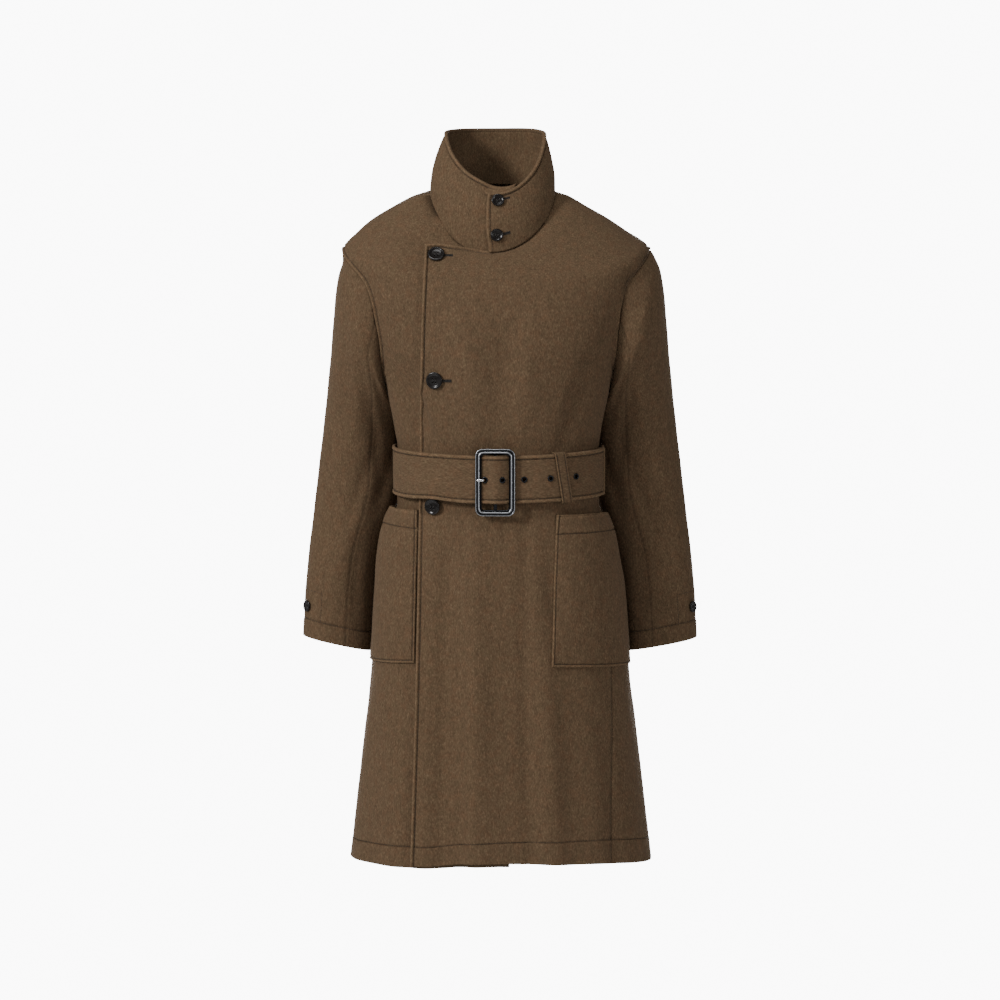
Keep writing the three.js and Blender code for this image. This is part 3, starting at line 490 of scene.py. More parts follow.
# A paler metal for a painted highlight on the buckle's ridges
paintedHighlightMetal = plainMaterial("gunmetalPaintedHighlight", (0.36, 0.37, 0.39), 0.32, 1.0)
steel = plainMaterial("steel", (0.85, 0.85, 0.86), 0.16, 1.0)
horn = plainMaterial("horn", (0.007, 0.0055, 0.005), 0.24, 0.0, 0.0, 0.08)
horn.node_tree.nodes["Principled BSDF"].inputs["Specular IOR Level"].default_value = 0.3
print("materials made")

# The lines that the panels share
armhole = reader(range(11), [0, 5, 10.6, 15.4, 19, 20.2, 19.5, 17, 12.5, 6.5, 0])
armholeZ = reader(range(11), [-97, -101, -109, -124, -146, -180, -215, -257, -297, -322, -330])
leftSeam = reader([-330, -465, -700, -800, -1111], [90, 82, 67, 64, 58])
rightSeam = reader([-330, -465, -1111], [-90, -93, -98])
hemAt = reader([-98, -50, -42, -20, 10, 50, 80, 98],
               [-1111, -1111, -1111, -1104, -1101, -1101, -1108, -1111])
frontEdge = reader([-86, -240, -523, -820, -1111], [-124, -130, -134, -140, -149])
flapXs, flapZs = [-124, -98, -76, -57, -33, -15], [-86, -85.5, -89, -92, -96.5, -99]
flapTop = reader(flapXs, flapZs)
sideHeights = [-330, -362, -395, -425, -466, -519, -545, -580, -625, -675, -730, -790, -850, -912,
               -977, -1044, -1111]
lastRow = 10 + len(sideHeights) - 1


def edgeHeight(row):
    knots = np.r_[np.linspace(edgeTop, underarm, 11), sideHeights[1:]]
    return np.interp(row, np.arange(lastRow + 1), knots)


def hemHeight(turn):
    return hemAt(np.where(turn > 180, turn - 360, turn))


def sideLine(rows, side, backwards, seam):
    forward = armhole(rows) + seamTurn
    turn = side * (90 + forward if backwards else 90 - forward)
    shift = seamTurn * (1 if backwards else -1) * side
    turn = np.where(rows <= 10, turn, seam(edgeHeight(rows)) + shift)
    return turn, np.where(rows <= 10, armholeZ(rows), edgeHeight(rows))


# A four-sided field of the cloth plane, filled between its top, bottom, start and end lines
def fill(top, bottom, start, end, down, across, middle):
    upper, lower = toPlane(*top, middle)[None], toPlane(*bottom, middle)[None]
    first, last = toPlane(*start, middle)[:, None], toPlane(*end, middle)[:, None]
    u, v = across[None, :, None], down[:, None, None]
    sides = (1 - u) * first + u * last + (1 - v) * upper + v * lower
    corners = (1 - u) * ((1 - v) * upper[:, :1] + v * lower[:, :1])
    corners = corners + u * ((1 - v) * upper[:, -1:] + v * lower[:, -1:])
    turn, z = fromPlane(sides - corners, middle)
    edges = (start, np.s_[:, 0]), (end, np.s_[:, -1]), (top, np.s_[0]), (bottom, np.s_[-1])
    for line, place in edges:
        turn[place], z[place] = line
    return turn, z


# Both walls of a panel. The inner one follows swells only in part, and not where it is tucked in.
def panelWalls(turn, z, out, gap, tuck=None):
    base, normal = bodyPoint(turn, z), bodyNormal(turn, z)
    sink = rim(gap, edgeRound)
    follow = np.minimum(out, out * 0.35) if tuck is None else tuck
    face = out if tuck is None else tuck + out
    outer = base + normal * (face + sink - 0.02)[..., None]
    inner = base + normal * (follow - cloth - sink + 0.02)[..., None]
    return outer, inner


stitchRuns = {}


def alongLine(run, line, at):
    return np.stack([np.interp(at, run, line[:, k]) for k in range(3)], -1)


# Keeps the stitches of a line: middle, direction and length of each
def stitchLine(group, line, pitch=4.2, length=3.2):
    step = np.linalg.norm(np.diff(line, axis=0), axis=-1)
    run = np.r_[0, np.cumsum(step)]
    count = max(1, int(run[-1] / pitch))
    middle = pitch / 2 + np.arange(count) * (run[-1] - pitch) / max(1, count - 1)
    ahead, behind = (alongLine(run, line, middle + way * length / 2) for way in (1, -1))
    along = unit(ahead - behind)
    place = alongLine(run, line, middle)
    stitchRuns.setdefault(group, []).append(np.concatenate([place, along * length], -1))


# A stitch line on the body at a distance beside a line
def bodyStitches(turn, z, by, lift):
    if by:
        turn, z = inset(turn, z, by)
    line = bodyPoint(turn, z) + bodyNormal(turn, z) * np.reshape(lift, (-1, 1))
    stitchLine("body", line)


# How far the right front sinks to lie under the left one
def tuckAt(turn, z):
    point = bodyPoint(turn, z)
    past = point[..., 0] - frontEdge(point[..., 2])
    bare = smooth(9, 30, point[..., 2] - flapTop(point[..., 0])) * smooth(-12, -34, point[..., 0])
    return -(cloth + 3.6) * np.where(np.abs(turn) < 90, smooth(-46, -3, past) * (1 - bare), 0)


# The panels' topstitching: distance from the edge, swell beside it, depth of the groove
frontStitch = {"at": 6.4, "swell": 2.1, "deep": 1.5}
hemStitch = {"up": 32, "deep": 1.5}
armStitch = {"at": 6.2, "swell": 2.3, "deep": 1.4}
stitchLift = {
    "front": 0.12 - frontStitch["deep"] * 0.7, "arm": 0.12 - armStitch["deep"] * 0.7,
    "hem": 0.12 - hemStitch["deep"] * 0.5, "tucked": 0.12 - 0.25,
}


# What the three panels share: the armhole's rolled edge, the turned-up hem and the side seam
def panelSwell(base, toHem, toArm, toSide, shown=1):
    out = rolled(toArm, armStitch["at"], armStitch["swell"], armStitch["deep"])
    out += groove(toHem, hemStitch["up"], hemStitch["deep"]) + groove(toSide, 1.2, 0.5, 2.2)
    hem = 0.5 * smooth(33, 28, toHem) + puckers(base, toHem, hemStitch["up"], 0.16)
    return out + hem * shown + puckers(base, toArm, armStitch["at"], 0.14)


# Painted highlight on the armhole's roll, and painted shade in its stitch groove, along the hem's
# stitch line and at the side seam
def panelPaintedLight(toHem, toArm, toSide):
    paintedLight = 0.8 * paintedEdgeLight(toArm, armStitch["at"])
    return paintedLight + paintedLineShade(toHem, hemStitch["up"]) + paintedLineShade(toSide, 0)


def armLine(side, backwards, seam, low=0, high=10, count=90):
    return sideLine(np.linspace(low, high, count), side, backwards, seam)


def armStitches(side, backwards, seam, by):
    line = armLine(side, backwards, seam, 0.02, 9.9, 160)
    bodyStitches(*line, by * armStitch["at"], stitchLift["arm"])


def hemStitches(fromTurn, toTurn):
    turn = np.linspace(fromTurn, toTurn, 240)
    bodyStitches(turn, hemHeight(turn) + hemStitch["up"] * 1.02, 0, stitchLift["hem"])


def downBody(rows):
    return (edgeHeight(rows) - edgeTop) / (hemline - edgeTop)


# The left front: its edge and the flap's top are free, its other sides are seams
columns = positions(16, 3.6, [(0, 0.72, 34)])
rows = positions(lastRow, 6.6, [(0, 0.5, 26), (lastRow - 0.62, lastRow, 30)])
flapTurns, flapHeights = spot(flapXs, flapZs)
flapTurns[-1], flapHeights[-1] = 0, 0


# The flap's top, then the neck, then the shoulder
def leftTop(column):
    flap = column < 5
    turn = np.where(flap, reader(range(6), flapTurns)(column), (column - 5) / 6 * (90 - seamTurn))
    z = np.where(flap, reader(range(6), flapHeights)(column), np.minimum(0, (11 - column) / 5 * 97))
    return np.minimum(turn, 90 - seamTurn), z


def frontEdgeLine(rows, shift):
    return spot(frontEdge(edgeHeight(rows)) + shift, edgeHeight(rows))


top = leftTop(columns)
start = frontEdgeLine(rows, 0)
start[0][0], start[1][0] = top[0][0], top[1][0]
end = sideLine(rows, 1, False, leftSeam)
bottomTurn = start[0][-1] + (end[0][-1] - start[0][-1]) * columns / 16
bottom = (bottomTurn, hemHeight(bottomTurn))
end[1][-1] = bottom[1][-1]
start[1][-1] = bottom[1][0]
turn, z = fill(top, bottom, start, end, downBody(rows), columns / 16, 0)
base = bodyPoint(turn, z)
flapLine = bodyPoint(*leftTop(np.linspace(0, 5, 60)))
toEdge = np.minimum(distance(base, bodyPoint(*start)), distance(base, flapLine))
toHem = distance(base, bodyPoint(*bottom))
toArm = distance(base, bodyPoint(*armLine(1, False, leftSeam)))
toSide = distance(base, bodyPoint(*armLine(1, False, leftSeam, 10, lastRow, 160)))
toShoulder = distance(base, bodyPoint(*leftTop(np.linspace(11, 16, 50))))
toNeck = distance(base, bodyPoint(*leftTop(np.linspace(5, 11, 50))))
toAny = np.minimum.reduce([toEdge, toHem, toArm, toSide, toShoulder, toNeck])
out = rolled(toEdge, frontStitch["at"], frontStitch["swell"], frontStitch["deep"])
out += puckers(base, toEdge, frontStitch["at"], 0.14) + panelSwell(base, toHem, toArm, toSide)
# Painted highlight on the rolls of the front edge and the flap's top, painted shade in their stitch
# grooves, and the painted light the panels share
paintedLight = paintedEdgeLight(toEdge, frontStitch["at"]) + panelPaintedLight(toHem, toArm, toSide)
frontLeft = wallObject("frontLeft", *panelWalls(turn, z, out, toAny), wool, paintedLight=paintedLight)
print("left front made")

edgeTurn, edgeZ = frontEdgeLine(np.linspace(0, lastRow, 500), frontStitch["at"])
keep = edgeZ < -92
bodyStitches(edgeTurn[keep], edgeZ[keep], 0, stitchLift["front"])
flapRun = leftTop(np.linspace(0.2, 5, 80))
bodyStitches(*flapRun, -frontStitch["at"], stitchLift["front"])
armStitches(1, False, leftSeam, -1)
hemStitches(start[0][-1] + 2.2, end[0][-1] - 0.4)

# The right front, which sinks under the overlap near its edge
hiddenEdge = 165
columns = positions(15, 3.4, [(0, 0.6, 18)])
rows = positions(lastRow, 6.2, [(lastRow - 0.62, lastRow, 28)])
overlapTurn = float(spot(-124 + hiddenEdge, -94)[0])


def rightTop(column):
    turn = np.interp(column, [0, 5, 11, 15], [-90 + seamTurn, -90 + seamTurn, 0, overlapTurn])
    return turn, np.minimum(0, (column - 5) / 5 * 97)


top = rightTop(columns)
start = sideLine(rows, -1, False, rightSeam)
end = frontEdgeLine(rows, hiddenEdge)
end[0][0], end[1][0] = top[0][-1], top[1][-1]
end[1][-1] = hemHeight(end[0][-1])
bottomTurn = start[0][-1] + (end[0][-1] - start[0][-1]) * columns / 15
bottom = (bottomTurn, hemHeight(bottomTurn))
start[1][-1] = bottom[1][0]
turn, z = fill(top, bottom, start, end, downBody(rows), columns / 15, 0)
base = bodyPoint(turn, z)
toHem = distance(base, bodyPoint(*bottom))
toArm = distance(base, bodyPoint(*armLine(-1, False, rightSeam)))
toSide = distance(base, bodyPoint(*armLine(-1, False, rightSeam, 10, lastRow, 160)))
toShoulder = distance(base, bodyPoint(*rightTop(np.linspace(0, 11, 100))))
toEnd = distance(base, bodyPoint(*end))
toAny = np.minimum.reduce([toEnd, toHem, toArm, toSide, toShoulder])
tuck = tuckAt(turn, z)
out = panelSwell(base, toHem, toArm, toSide, tuck > -1)
# Painted highlight and painted shade that the panels share
paintedLight = panelPaintedLight(toHem, toArm, toSide)
walls = panelWalls(turn, z, out, toAny, tuck)
frontRight = wallObject("frontRight", *walls, wool, paintedLight=paintedLight)
print("right front made")

armStitches(-1, False, rightSeam, 1)
turns = np.linspace(start[0][-1] + 0.4, float(spot(-149, -1100)[0]) - 0.5, 120)
heights = hemHeight(turns) + hemStitch["up"] * 1.02
bodyStitches(turns, heights, 0, stitchLift["tucked"] + tuckAt(turns, heights))

# The back, one plain panel, from the shoulder over the neck to the other shoulder
columns = positions(18, 4.2, [(0, 0.6, 18), (17.4, 18, 18)])
rows = positions(lastRow, 6.2, [(lastRow - 0.62, lastRow, 28)])


def backTop(column):
    low, high = 90 + seamTurn, 270 - seamTurn
    turn = np.interp(column, [0, 5, 13, 18], [low, low, high, high])
    return turn, np.minimum(0, (column - 5) / 5 * 97) + np.minimum(0, (13 - column) / 5 * 97)


top = backTop(columns)
start = sideLine(rows, 1, True, leftSeam)
end = sideLine(rows, -1, True, rightSeam)
end = (end[0] + 360, end[1])
bottomTurn = start[0][-1] + (end[0][-1] - start[0][-1]) * columns / 18
bottom = (bottomTurn, hemHeight(bottomTurn))
start[1][-1], end[1][-1] = bottom[1][0], bottom[1][-1]
turn, z = fill(top, bottom, start, end, downBody(rows), columns / 18, 180)
base = bodyPoint(turn, z)
toHem = distance(base, bodyPoint(*bottom))
backSeams = (1, leftSeam), (-1, rightSeam)
toArm = np.minimum(*(distance(base, bodyPoint(*armLine(side, True, seam)))
                     for side, seam in backSeams))
toSide = np.minimum(*(distance(base, bodyPoint(*armLine(side, True, seam, 10, lastRow, 160)))
                      for side, seam in backSeams))
toTop = distance(base, bodyPoint(*backTop(np.linspace(0, 18, 200))))
toAny = np.minimum.reduce([toHem, toArm, toSide, toTop])
out = panelSwell(base, toHem, toArm, toSide)
# Painted highlight and painted shade that the panels share
paintedLight = panelPaintedLight(toHem, toArm, toSide)
back = wallObject("back", *panelWalls(turn, z, out, toAny), wool, paintedLight=paintedLight)
for side in (1, -1):
    armStitches(side, True, leftSeam, side)
hemStitches(start[0][-1] + 0.4, end[0][-1] - 0.4)
print("back made")

# Sleeve sections from the shoulder to the cuff: outer and inner point from the front, middle of
# the depth, reach to front and back, squareness
sleeveRows = np.array([
    (262, -118, 183, -334, 2, 76, 2.1),
    (270, -145, 182, -338, 5, 79, 2.1),
    (275, -182, 180, -343, 10, 81, 2.1),
    (279, -225, 175, -351, 20, 81, 2.1),
    (284, -280, 167, -365, 35, 79, 2.15),
    (289.5, -332, 163, -386, 50, 76, 2.2),
    (295, -382, 160, -415, 61, 72, 2.2),
    (301, -432, 161, -449, 66, 68, 2.2),
    (307, -482, 162, -491, 67, 64, 2.2),
    (313, -533, 173, -540, 66, 60, 2.2),
    (320.5, -592, 196, -603, 62, 56, 2.2),
    (327, -654, 206, -668, 59, 52, 2.2),
    (330, -706, 210, -721, 58, 49, 2.2),
    (331, -749, 213, -771, 57, 48, 2.2),
])
lastSection = 13
sleeveLook = {
    "columns": 132, "frontSeam": 104, "backSeam": -130, "hem": 31, "hitch": 3,
    "placket": {"low": -40, "high": 61, "tall": 80},
}
# Folds of a sleeve: section where each is deepest, its angle from outside towards the front, its
# lean in degrees per section, its reach along and round, its depth
sleeveFolds = [
    (6.5, 128, 0, 3.4, 22, 6), (5.2, -60, 0, 2.2, 26, 4), (9.2, 55, 0, 2.4, 24, 3.5),
    (5.4, 104, 6, 2.6, 11, 4.2), (8.2, 92, -9, 1.5, 10, 3.4), (7.2, 140, -12, 1.6, 11, 3.0),
    (7.4, 60, -9, 2.0, 12, -2.6), (2.8, 112, 5, 2.0, 11, 2.8), (6.2, -100, 8, 2.0, 12, 3.2),
    (8.6, -70, -10, 1.4, 11, 2.8), (4.4, -130, 6, 2.0, 12, 2.6), (10.6, 112, 6, 1.6, 12, 2.2),
    (10.2, 20, -6, 1.6, 14, 1.8), (2.2, 60, 3, 1.6, 14, 1.8), (4.2, 76, 3, 2.4, 9, -2.0),
]


# A smooth curve through the sections
def catmull(knots, at):
    i = np.clip(np.floor(at).astype(int), 0, len(knots) - 2)
    t = (at - i)[:, None, None]
    a, b, c, d = (knots[np.clip(i + k, 0, len(knots) - 1)] for k in (-1, 0, 1, 2))
    square, cube = 2 * a - 5 * b + 4 * c - d, 3 * b - a - 3 * c + d
    return 0.5 * (2 * b + (c - a) * t + square * t**2 + cube * t**3)


def sleeveSections(side, angle):
    rows = []
    for at, (outX, outZ, inX, inZ, midY, deep, power) in enumerate(sleeveRows):
        # The right cuff is hitched up a little, and the body's middle lies to the right
        hitch = sleeveLook["hitch"] * (at / lastSection) ** 6 if side < 0 else 0
        outer = np.array([side * outX, midY, outZ + hitch])
        inner = np.array([side * inX - 3, midY, inZ])
        c, s = np.cos(np.radians(angle))[:, None], np.sin(np.radians(angle))[:, None]
        size = (np.abs(c)**power + np.abs(s)**power) ** (-1 / power)
        across, forwards = (outer - inner) / 2 * c, np.array([0, deep, 0]) * s
        rows.append((outer + inner) / 2 + across * size - forwards * size)
    return np.array(rows)


def armholeLoop(side, angle):
    at = angle / 18
    forward = np.maximum(armhole(np.where(at <= 10, at, 20 - at)), 0)
    height = armholeZ(np.where(at <= 10, at, 20 - at))
    return bodyPoint(side * np.where(at <= 10, 90 - forward, 90 + forward), height)


def sleeveFace(side, angle, at):
    sections = sleeveSections(side, angle)
    loop = armholeLoop(side, angle)
    loop = loop - unit(sections[0] - loop) * 2.0
    knots = np.concatenate([loop[None], sections])
    grid = catmull(knots, at + 1)
    around = np.roll(grid, -1, 1) - np.roll(grid, 1, 1)
    along = np.gradient(grid, axis=0)
    normal = unit(np.cross(around, along)) * side
    total = np.zeros(grid.shape[:2])
    for row, turn, lean, long, wide, deep in sleeveFolds:
        offset = at[:, None] - row
        aside = (angle[None] - turn - lean * offset + 540) % 360 - 180
        total -= deep * np.exp(-((aside / wide) ** 2) - (offset / long) ** 2)
    wave = np.sin(np.radians(angle)[None] * 5 + at[:, None] * 1.9)
    total += 0.3 * wave * np.sin(at[:, None] * 2.7 + 0.6)
    total *= smooth(-0.9, 0.6, at)[:, None]
    return grid + normal * total[..., None], normal


def sleeve(name, side):
    columns, hemUp, placket = (sleeveLook[key] for key in ("columns", "hem", "placket"))
    angle = np.linspace(0, 360, columns, endpoint=False)
    at = np.unique(np.round(np.r_[np.linspace(-1, -0.3, 16), np.linspace(-0.3, 12, 108),
                                  np.linspace(12, 12.7, 14), np.linspace(12.7, 13, 10)], 5))
    grid, normal = sleeveFace(side, angle, at)
    closed = np.concatenate([grid, grid[:, :1]], 1)
    toHead = distance(grid, closed[0])
    toCuff = distance(grid, closed[-1])
    # Seams along the front and the back of the sleeve
    out = np.zeros(grid.shape[:2])
    # Painted shade along the cuff's stitch line and, below, along both seams
    paintedLight = paintedLineShade(toCuff, hemUp)
    for seam in (sleeveLook["frontSeam"], sleeveLook["backSeam"]):
        line = closed[:, int(round((seam % 360) / 360 * columns))]
        gap = distance(grid, line)
        out += groove(gap, 0, 0.75, 1.5) + 0.3 * np.exp(-((gap - 3.4) / 2.2) ** 2)
        paintedLight += paintedLineShade(gap, 0)
    out += groove(toCuff, hemUp, 1.3, 1.4) + 0.8 * smooth(32, 27, toCuff)
    out += puckers(grid, toCuff, hemUp, 0.16)
    # The head is eased in, so it stands fuller on its outside
    outside = smooth(0.3, 1, np.cos(np.radians(angle)) * 0.5 + 0.5)
    out += 1.1 * np.exp(-((toHead - 9) / 7) ** 2) * outside
    out += puckers(grid, toHead, 5, 0.16) - 1.5 * np.exp(-((toHead / 2.4) ** 2))
    sink = rim(toCuff, edgeRound) + rim(toHead, edgeRound)
    outer = grid + normal * (out + sink - 0.02)[..., None]
    inner = grid + normal * (-cloth - sink + 0.02)[..., None]
    if side > 0:
        outer, inner, paintedLight = outer[:, ::-1], inner[:, ::-1], paintedLight[:, ::-1]
    made = wallObject(name, outer, inner, wool, ringed=True, paintedLight=paintedLight)
    # Stitches of the cuff's hem and of the placket's corner
    face = closed + np.concatenate([normal, normal[:, :1]], 1) * 0.05
    run = np.linalg.norm(np.diff(grid, axis=0), axis=-1)
    run = np.concatenate([run[::-1].cumsum(0)[::-1], np.zeros((1, grid.shape[1]))])

    def onFace(angleAt, up):
        column = (angleAt % 360) / 360 * columns
        low = int(column)
        part = column - low
        height = (1 - part) * run[:, low] + part * run[:, (low + 1) % columns]
        line = (1 - part) * face[:, low] + part * face[:, low + 1]
        return alongLine(-height, line, -up)

    stitchLine("sleeves", np.array([onFace(a, hemUp) for a in np.linspace(0, 359.9, 140)]))
    low, high, tall = (placket[key] for key in ("low", "high", "tall"))
    corner = [onFace(high, up) for up in np.linspace(hemUp + 1, tall, 20)]
    corner += [onFace(a, tall) for a in np.linspace(high, low, 20)[1:]]
    stitchLine("sleeves", np.array(corner))
    return made


sleeveLeft = sleeve("sleeveLeft", 1)
sleeveRight = sleeve("sleeveRight", -1)
print("sleeves made")

# The collar: one strip from its buttoned end round the back and under that end again
collarLook = {"thick": 4.6, "lastTurn": 392, "stitch": 6.6, "swell": 1.8, "deep": 1.4}
collarThick, collarStitch = collarLook["thick"], collarLook["stitch"]
collarTall = reader([-12, 50, 90, 180, 270, 310, 335, 360, 392],
                    [96, 95, 97, 92, 98, 108, 112, 107, 98])
collarRing = readers([
    (0, -13.5, 101, 80, 74), (0.25, -12.8, 99.5, 79, 75), (0.5, -11.7, 95, 76, 75),
    (0.75, -10.4, 88, 71, 73), (1, -9, 79, 64, 70),
], ["centre", "half", "front", "back"])
overEnd = reader([0, 0.5, 0.85, 1], [-3.2, -8.2, -9.4, -9.0])


def collarPoint(turn, at):
    turn, at = np.broadcast_arrays(np.asarray(turn, float), np.asarray(at, float))
    side, ahead = np.sin(np.radians(turn)), np.cos(np.radians(turn))
    depth = np.where(ahead > 0, collarRing["front"](at), collarRing["back"](at))
    lap = (collarThick + 0.3) * (1 - smooth(50, 120, turn))
    reach = ((side / collarRing["half"](at)) ** 2 + (ahead / depth) ** 2) ** -0.5 + lap
    drop = 2.6 + 5 * smooth(296, 315, turn) * (1 - smooth(349, 358, turn))
    foot = bodyPoint(turn, 0.0)[..., 2] + 1.3 - drop * (1 - smooth(0, 0.09, at))
    wave = 0.5 * np.sin(turn * 0.11 + at * 3.1) * np.sin(at * 4 + turn * 0.05)
    out = reach + wave * smooth(0, 0.3, at)
    height = foot + collarTall(turn) * at
    return np.stack([collarRing["centre"](at) + out * side, -out * ahead, height], -1)


share = np.unique(np.round(np.r_[np.linspace(0, 0.03, 8), np.linspace(0.03, 0.125, 26),
                                 np.linspace(0.125, 1, 150)], 5))
heights = np.unique(np.round(np.r_[np.linspace(1, 0.86, 32), np.linspace(0.86, 0.04, 40),
                                   np.linspace(0.04, 0, 8)], 5))[::-1]
startTurn = overEnd(heights)[:, None]
turn = startTurn + (collarLook["lastTurn"] - startTurn) * share[None]
at = np.broadcast_to(heights[:, None], turn.shape)
middle = collarPoint(turn, at)
normal = unit(np.cross(np.gradient(middle, axis=1), -np.gradient(middle, axis=0)))
# Each end counts only on its own side, because the ends lie on each other
toStart = np.where(turn < 180, distance(middle, middle[:, 0]), 99)
toLast = np.where(turn > 180, distance(middle, middle[:, -1]), 99)
toEdge = np.minimum.reduce([distance(middle, middle[0]), toStart, toLast])
toAny = np.minimum(toEdge, distance(middle, middle[-1]))
out = rolled(toEdge, collarStitch, collarLook["swell"], collarLook["deep"])
out = (out + puckers(middle, toEdge, collarStitch, 0.14)) * (1 - smooth(346, 356, turn))
sink = rim(toAny, collarThick / 2 - 0.02)
outer = middle + normal * (collarThick / 2 + out + sink)[..., None]
lining = 0.6 * rolled(toEdge, collarStitch, 0.5, 0.6) * smooth(38, 60, turn)
inner = middle - normal * (collarThick / 2 + lining + sink)[..., None]
# Painted highlight on the collar's edge roll and painted shade in its stitch groove
collar = wallObject("collar", outer, inner, wool, paintedLight=paintedEdgeLight(toEdge, collarStitch))
print("collar made")


def collarLine(turns, ats, out):
    point = collarPoint(turns, ats)
    around = collarPoint(turns + 0.5, ats) - collarPoint(turns - 0.5, ats)
    up = collarPoint(turns, np.minimum(1, ats + 0.01)) - collarPoint(turns, ats - 0.01)
    return point + unit(np.cross(around, up)) * out


stitchOut = collarThick / 2 - 0.45
turns = np.linspace(float(overEnd(1)) + 4.6, 352, 600)
stitchLine("collar", collarLine(turns, 1 - collarStitch / collarTall(turns), stitchOut))
ats = np.linspace(1 - 6.8 / 96, 0.03, 80)
turns = overEnd(ats) + np.degrees(collarStitch / 78) * 0.98
stitchLine("collar", collarLine(turns, ats, stitchOut))

# Patch pockets wrap round the sides and gape a little at the top
pocketLook = {"thick": 2.6, "gap": 1.5, "slant": 8, "stitch": 4.6, "hem": 29}
pockets = {
    "pocketLeft": {"top": -531, "foot": -780, "inner": (92, 84), "outer": (97, 93), "gape": 5},
    "pocketRight": {"top": -524, "foot": -776, "fromEdge": -3.5, "outer": (-112, -106), "gape": 7},
}
pocketPieces = {}


# The place on a line of points at a wanted gap from one end of it
def atDistance(gaps, points, wanted):
    order = np.argsort(gaps)
    return alongLine(gaps[order], points[order], wanted)


def lengthOf(vectors):
    return np.linalg.norm(vectors, axis=-1)


for name, size in pockets.items():
    side = 1 if size["outer"][0] > 0 else -1
    across = np.unique(np.round(np.r_[np.linspace(0, 0.06, 22), np.linspace(0.06, 0.94, 54),
                                      np.linspace(0.94, 1, 22)], 5))
    v = np.unique(np.round(np.r_[np.linspace(0, 0.02, 10), np.linspace(0.02, 0.1, 12),
                                 np.linspace(0.1, 0.14, 16), np.linspace(0.14, 0.95, 60),
                                 np.linspace(0.95, 1, 22)], 5))
    heights = size["top"] + v * (size["foot"] - size["top"])
    if side > 0:
        x = size["inner"][0] + v * (size["inner"][1] - size["inner"][0])
    else:
        x = frontEdge(heights) + size["fromEdge"]
    inner = spot(x, heights)
    outer = size["outer"][0] + v * (size["outer"][1] - size["outer"][0])
    levels = [(inner[0][row] + (outer[row] - inner[0][row]) * across,
               heights[row] - pocketLook["slant"] * across) for row in (0, -1)]
    outer = (outer, heights - pocketLook["slant"])
    turn, z = fill(*levels, inner, outer, v, across, 0)
    swell = np.sin(np.pi * across)[None] * (1 - v[:, None]) ** 2
    if side < 0:
        turn, z, swell = turn[:, ::-1], z[:, ::-1], swell[:, ::-1]
    base = bodyPoint(turn, z)
    face = pocketLook["thick"] + pocketLook["gap"] + size["gape"] * swell
    face = face + (tuckAt(turn, z) if side < 0 else 0)
    rims = base[:, 0], base[:, -1], base[-1]
    sides = np.minimum.reduce([distance(base, line) for line in rims])
    toTop = distance(base, base[0])
    # The sides and foot are sewn down, the top is open
    settle = 1.6 * smooth(7, 0, sides) * smooth(0, 26, toTop)
    stitch, hemDown = pocketLook["stitch"], pocketLook["hem"]
    out = rolled(sides, stitch, 1.1, 1.2) + puckers(base, sides, stitch, 0.2) - settle
    out += groove(toTop, hemDown, 1.1, 1.3) + 0.9 * smooth(30, 25, toTop)
    out += puckers(base, toTop, hemDown, 0.16)
    grain = 0.35 * np.sin(z * 0.05 + turn * 0.2) * np.sin(turn * 0.33 - z * 0.02)
    sink = rim(np.minimum(sides, toTop), pocketLook["thick"] / 2 - 0.02)
    normal = bodyNormal(turn, z)
    outer = base + normal * (face + out + grain + sink)[..., None]
    inner = base + normal * (face - settle + grain - pocketLook["thick"] - sink)[..., None]
    # Painted highlight on the sewn edges' rolls and along the open top edge, painted shade in the
    # stitch grooves and at the hem's stitch line
    paintedLight = paintedEdgeLight(sides, stitch) + paintedLineShade(toTop, hemDown)
    paintedLight += 0.8 * np.exp(-(((toTop - 2) / 2) ** 2))
    pocketPieces[name] = wallObject(name, outer, inner, wool, paintedLight=paintedLight)

    # Stitches follow the grid's own lines at their distances
    shown = base + normal * (face + out + grain + 0.25)[..., None]

    half, tall = turn.shape[1] // 2, len(v) // 2
    rows = [j for j in range(len(v)) if size["foot"] + 5 < heights[j] < size["top"] - 2]
    for part, end in ((np.s_[:half], 0), (np.s_[half:], -1)):
        line = [atDistance(lengthOf(base[j, part] - base[j, end]), shown[j, part], stitch)
                for j in rows]
        stitchLine("pockets", np.array(line))
    foot, mouth = (np.s_[tall:], -1, 4.4, stitch), (np.s_[:tall], 0, 1.5, hemDown)
    for part, end, margin, wanted in (foot, mouth):
        columns = [i for i in range(turn.shape[1])
                   if min(lengthOf(base[end, i] - base[end, [0, -1]])) > margin]
        line = [atDistance(lengthOf(base[part, i] - base[end, i]), shown[part, i], wanted)
                for i in columns]
        stitchLine("pockets", np.array(line))
print("pockets made")

# The belt: one strap from the buckle's bar round the waist and through the buckle again
beltLook = {"thick": 4.4, "half": 39.5, "height": -461, "dip": 11, "off": 3.4, "stitch": 6.6,
            "tip": 438, "perTurn": 2.25}
beltThick, beltHalf, beltHeight = beltLook["thick"], beltLook["half"], beltLook["height"]
beltStitch, tipTurn = beltLook["stitch"], beltLook["tip"]
secondLayer = beltLook["off"] + beltThick + 0.3
buckleTurn = float(spot(-7, beltHeight)[0])
keeperTurn = float(spot(98.5, beltHeight)[0])
lowButtonTurn = float(spot(-109, -514)[0])
waistTurns = np.linspace(-180, 180, 2881)
waistPoints = bodyPoint(waistTurns, beltHeight)
waistNormals = unit(bodyNormal(waistTurns, beltHeight) * [1, 1, 0])


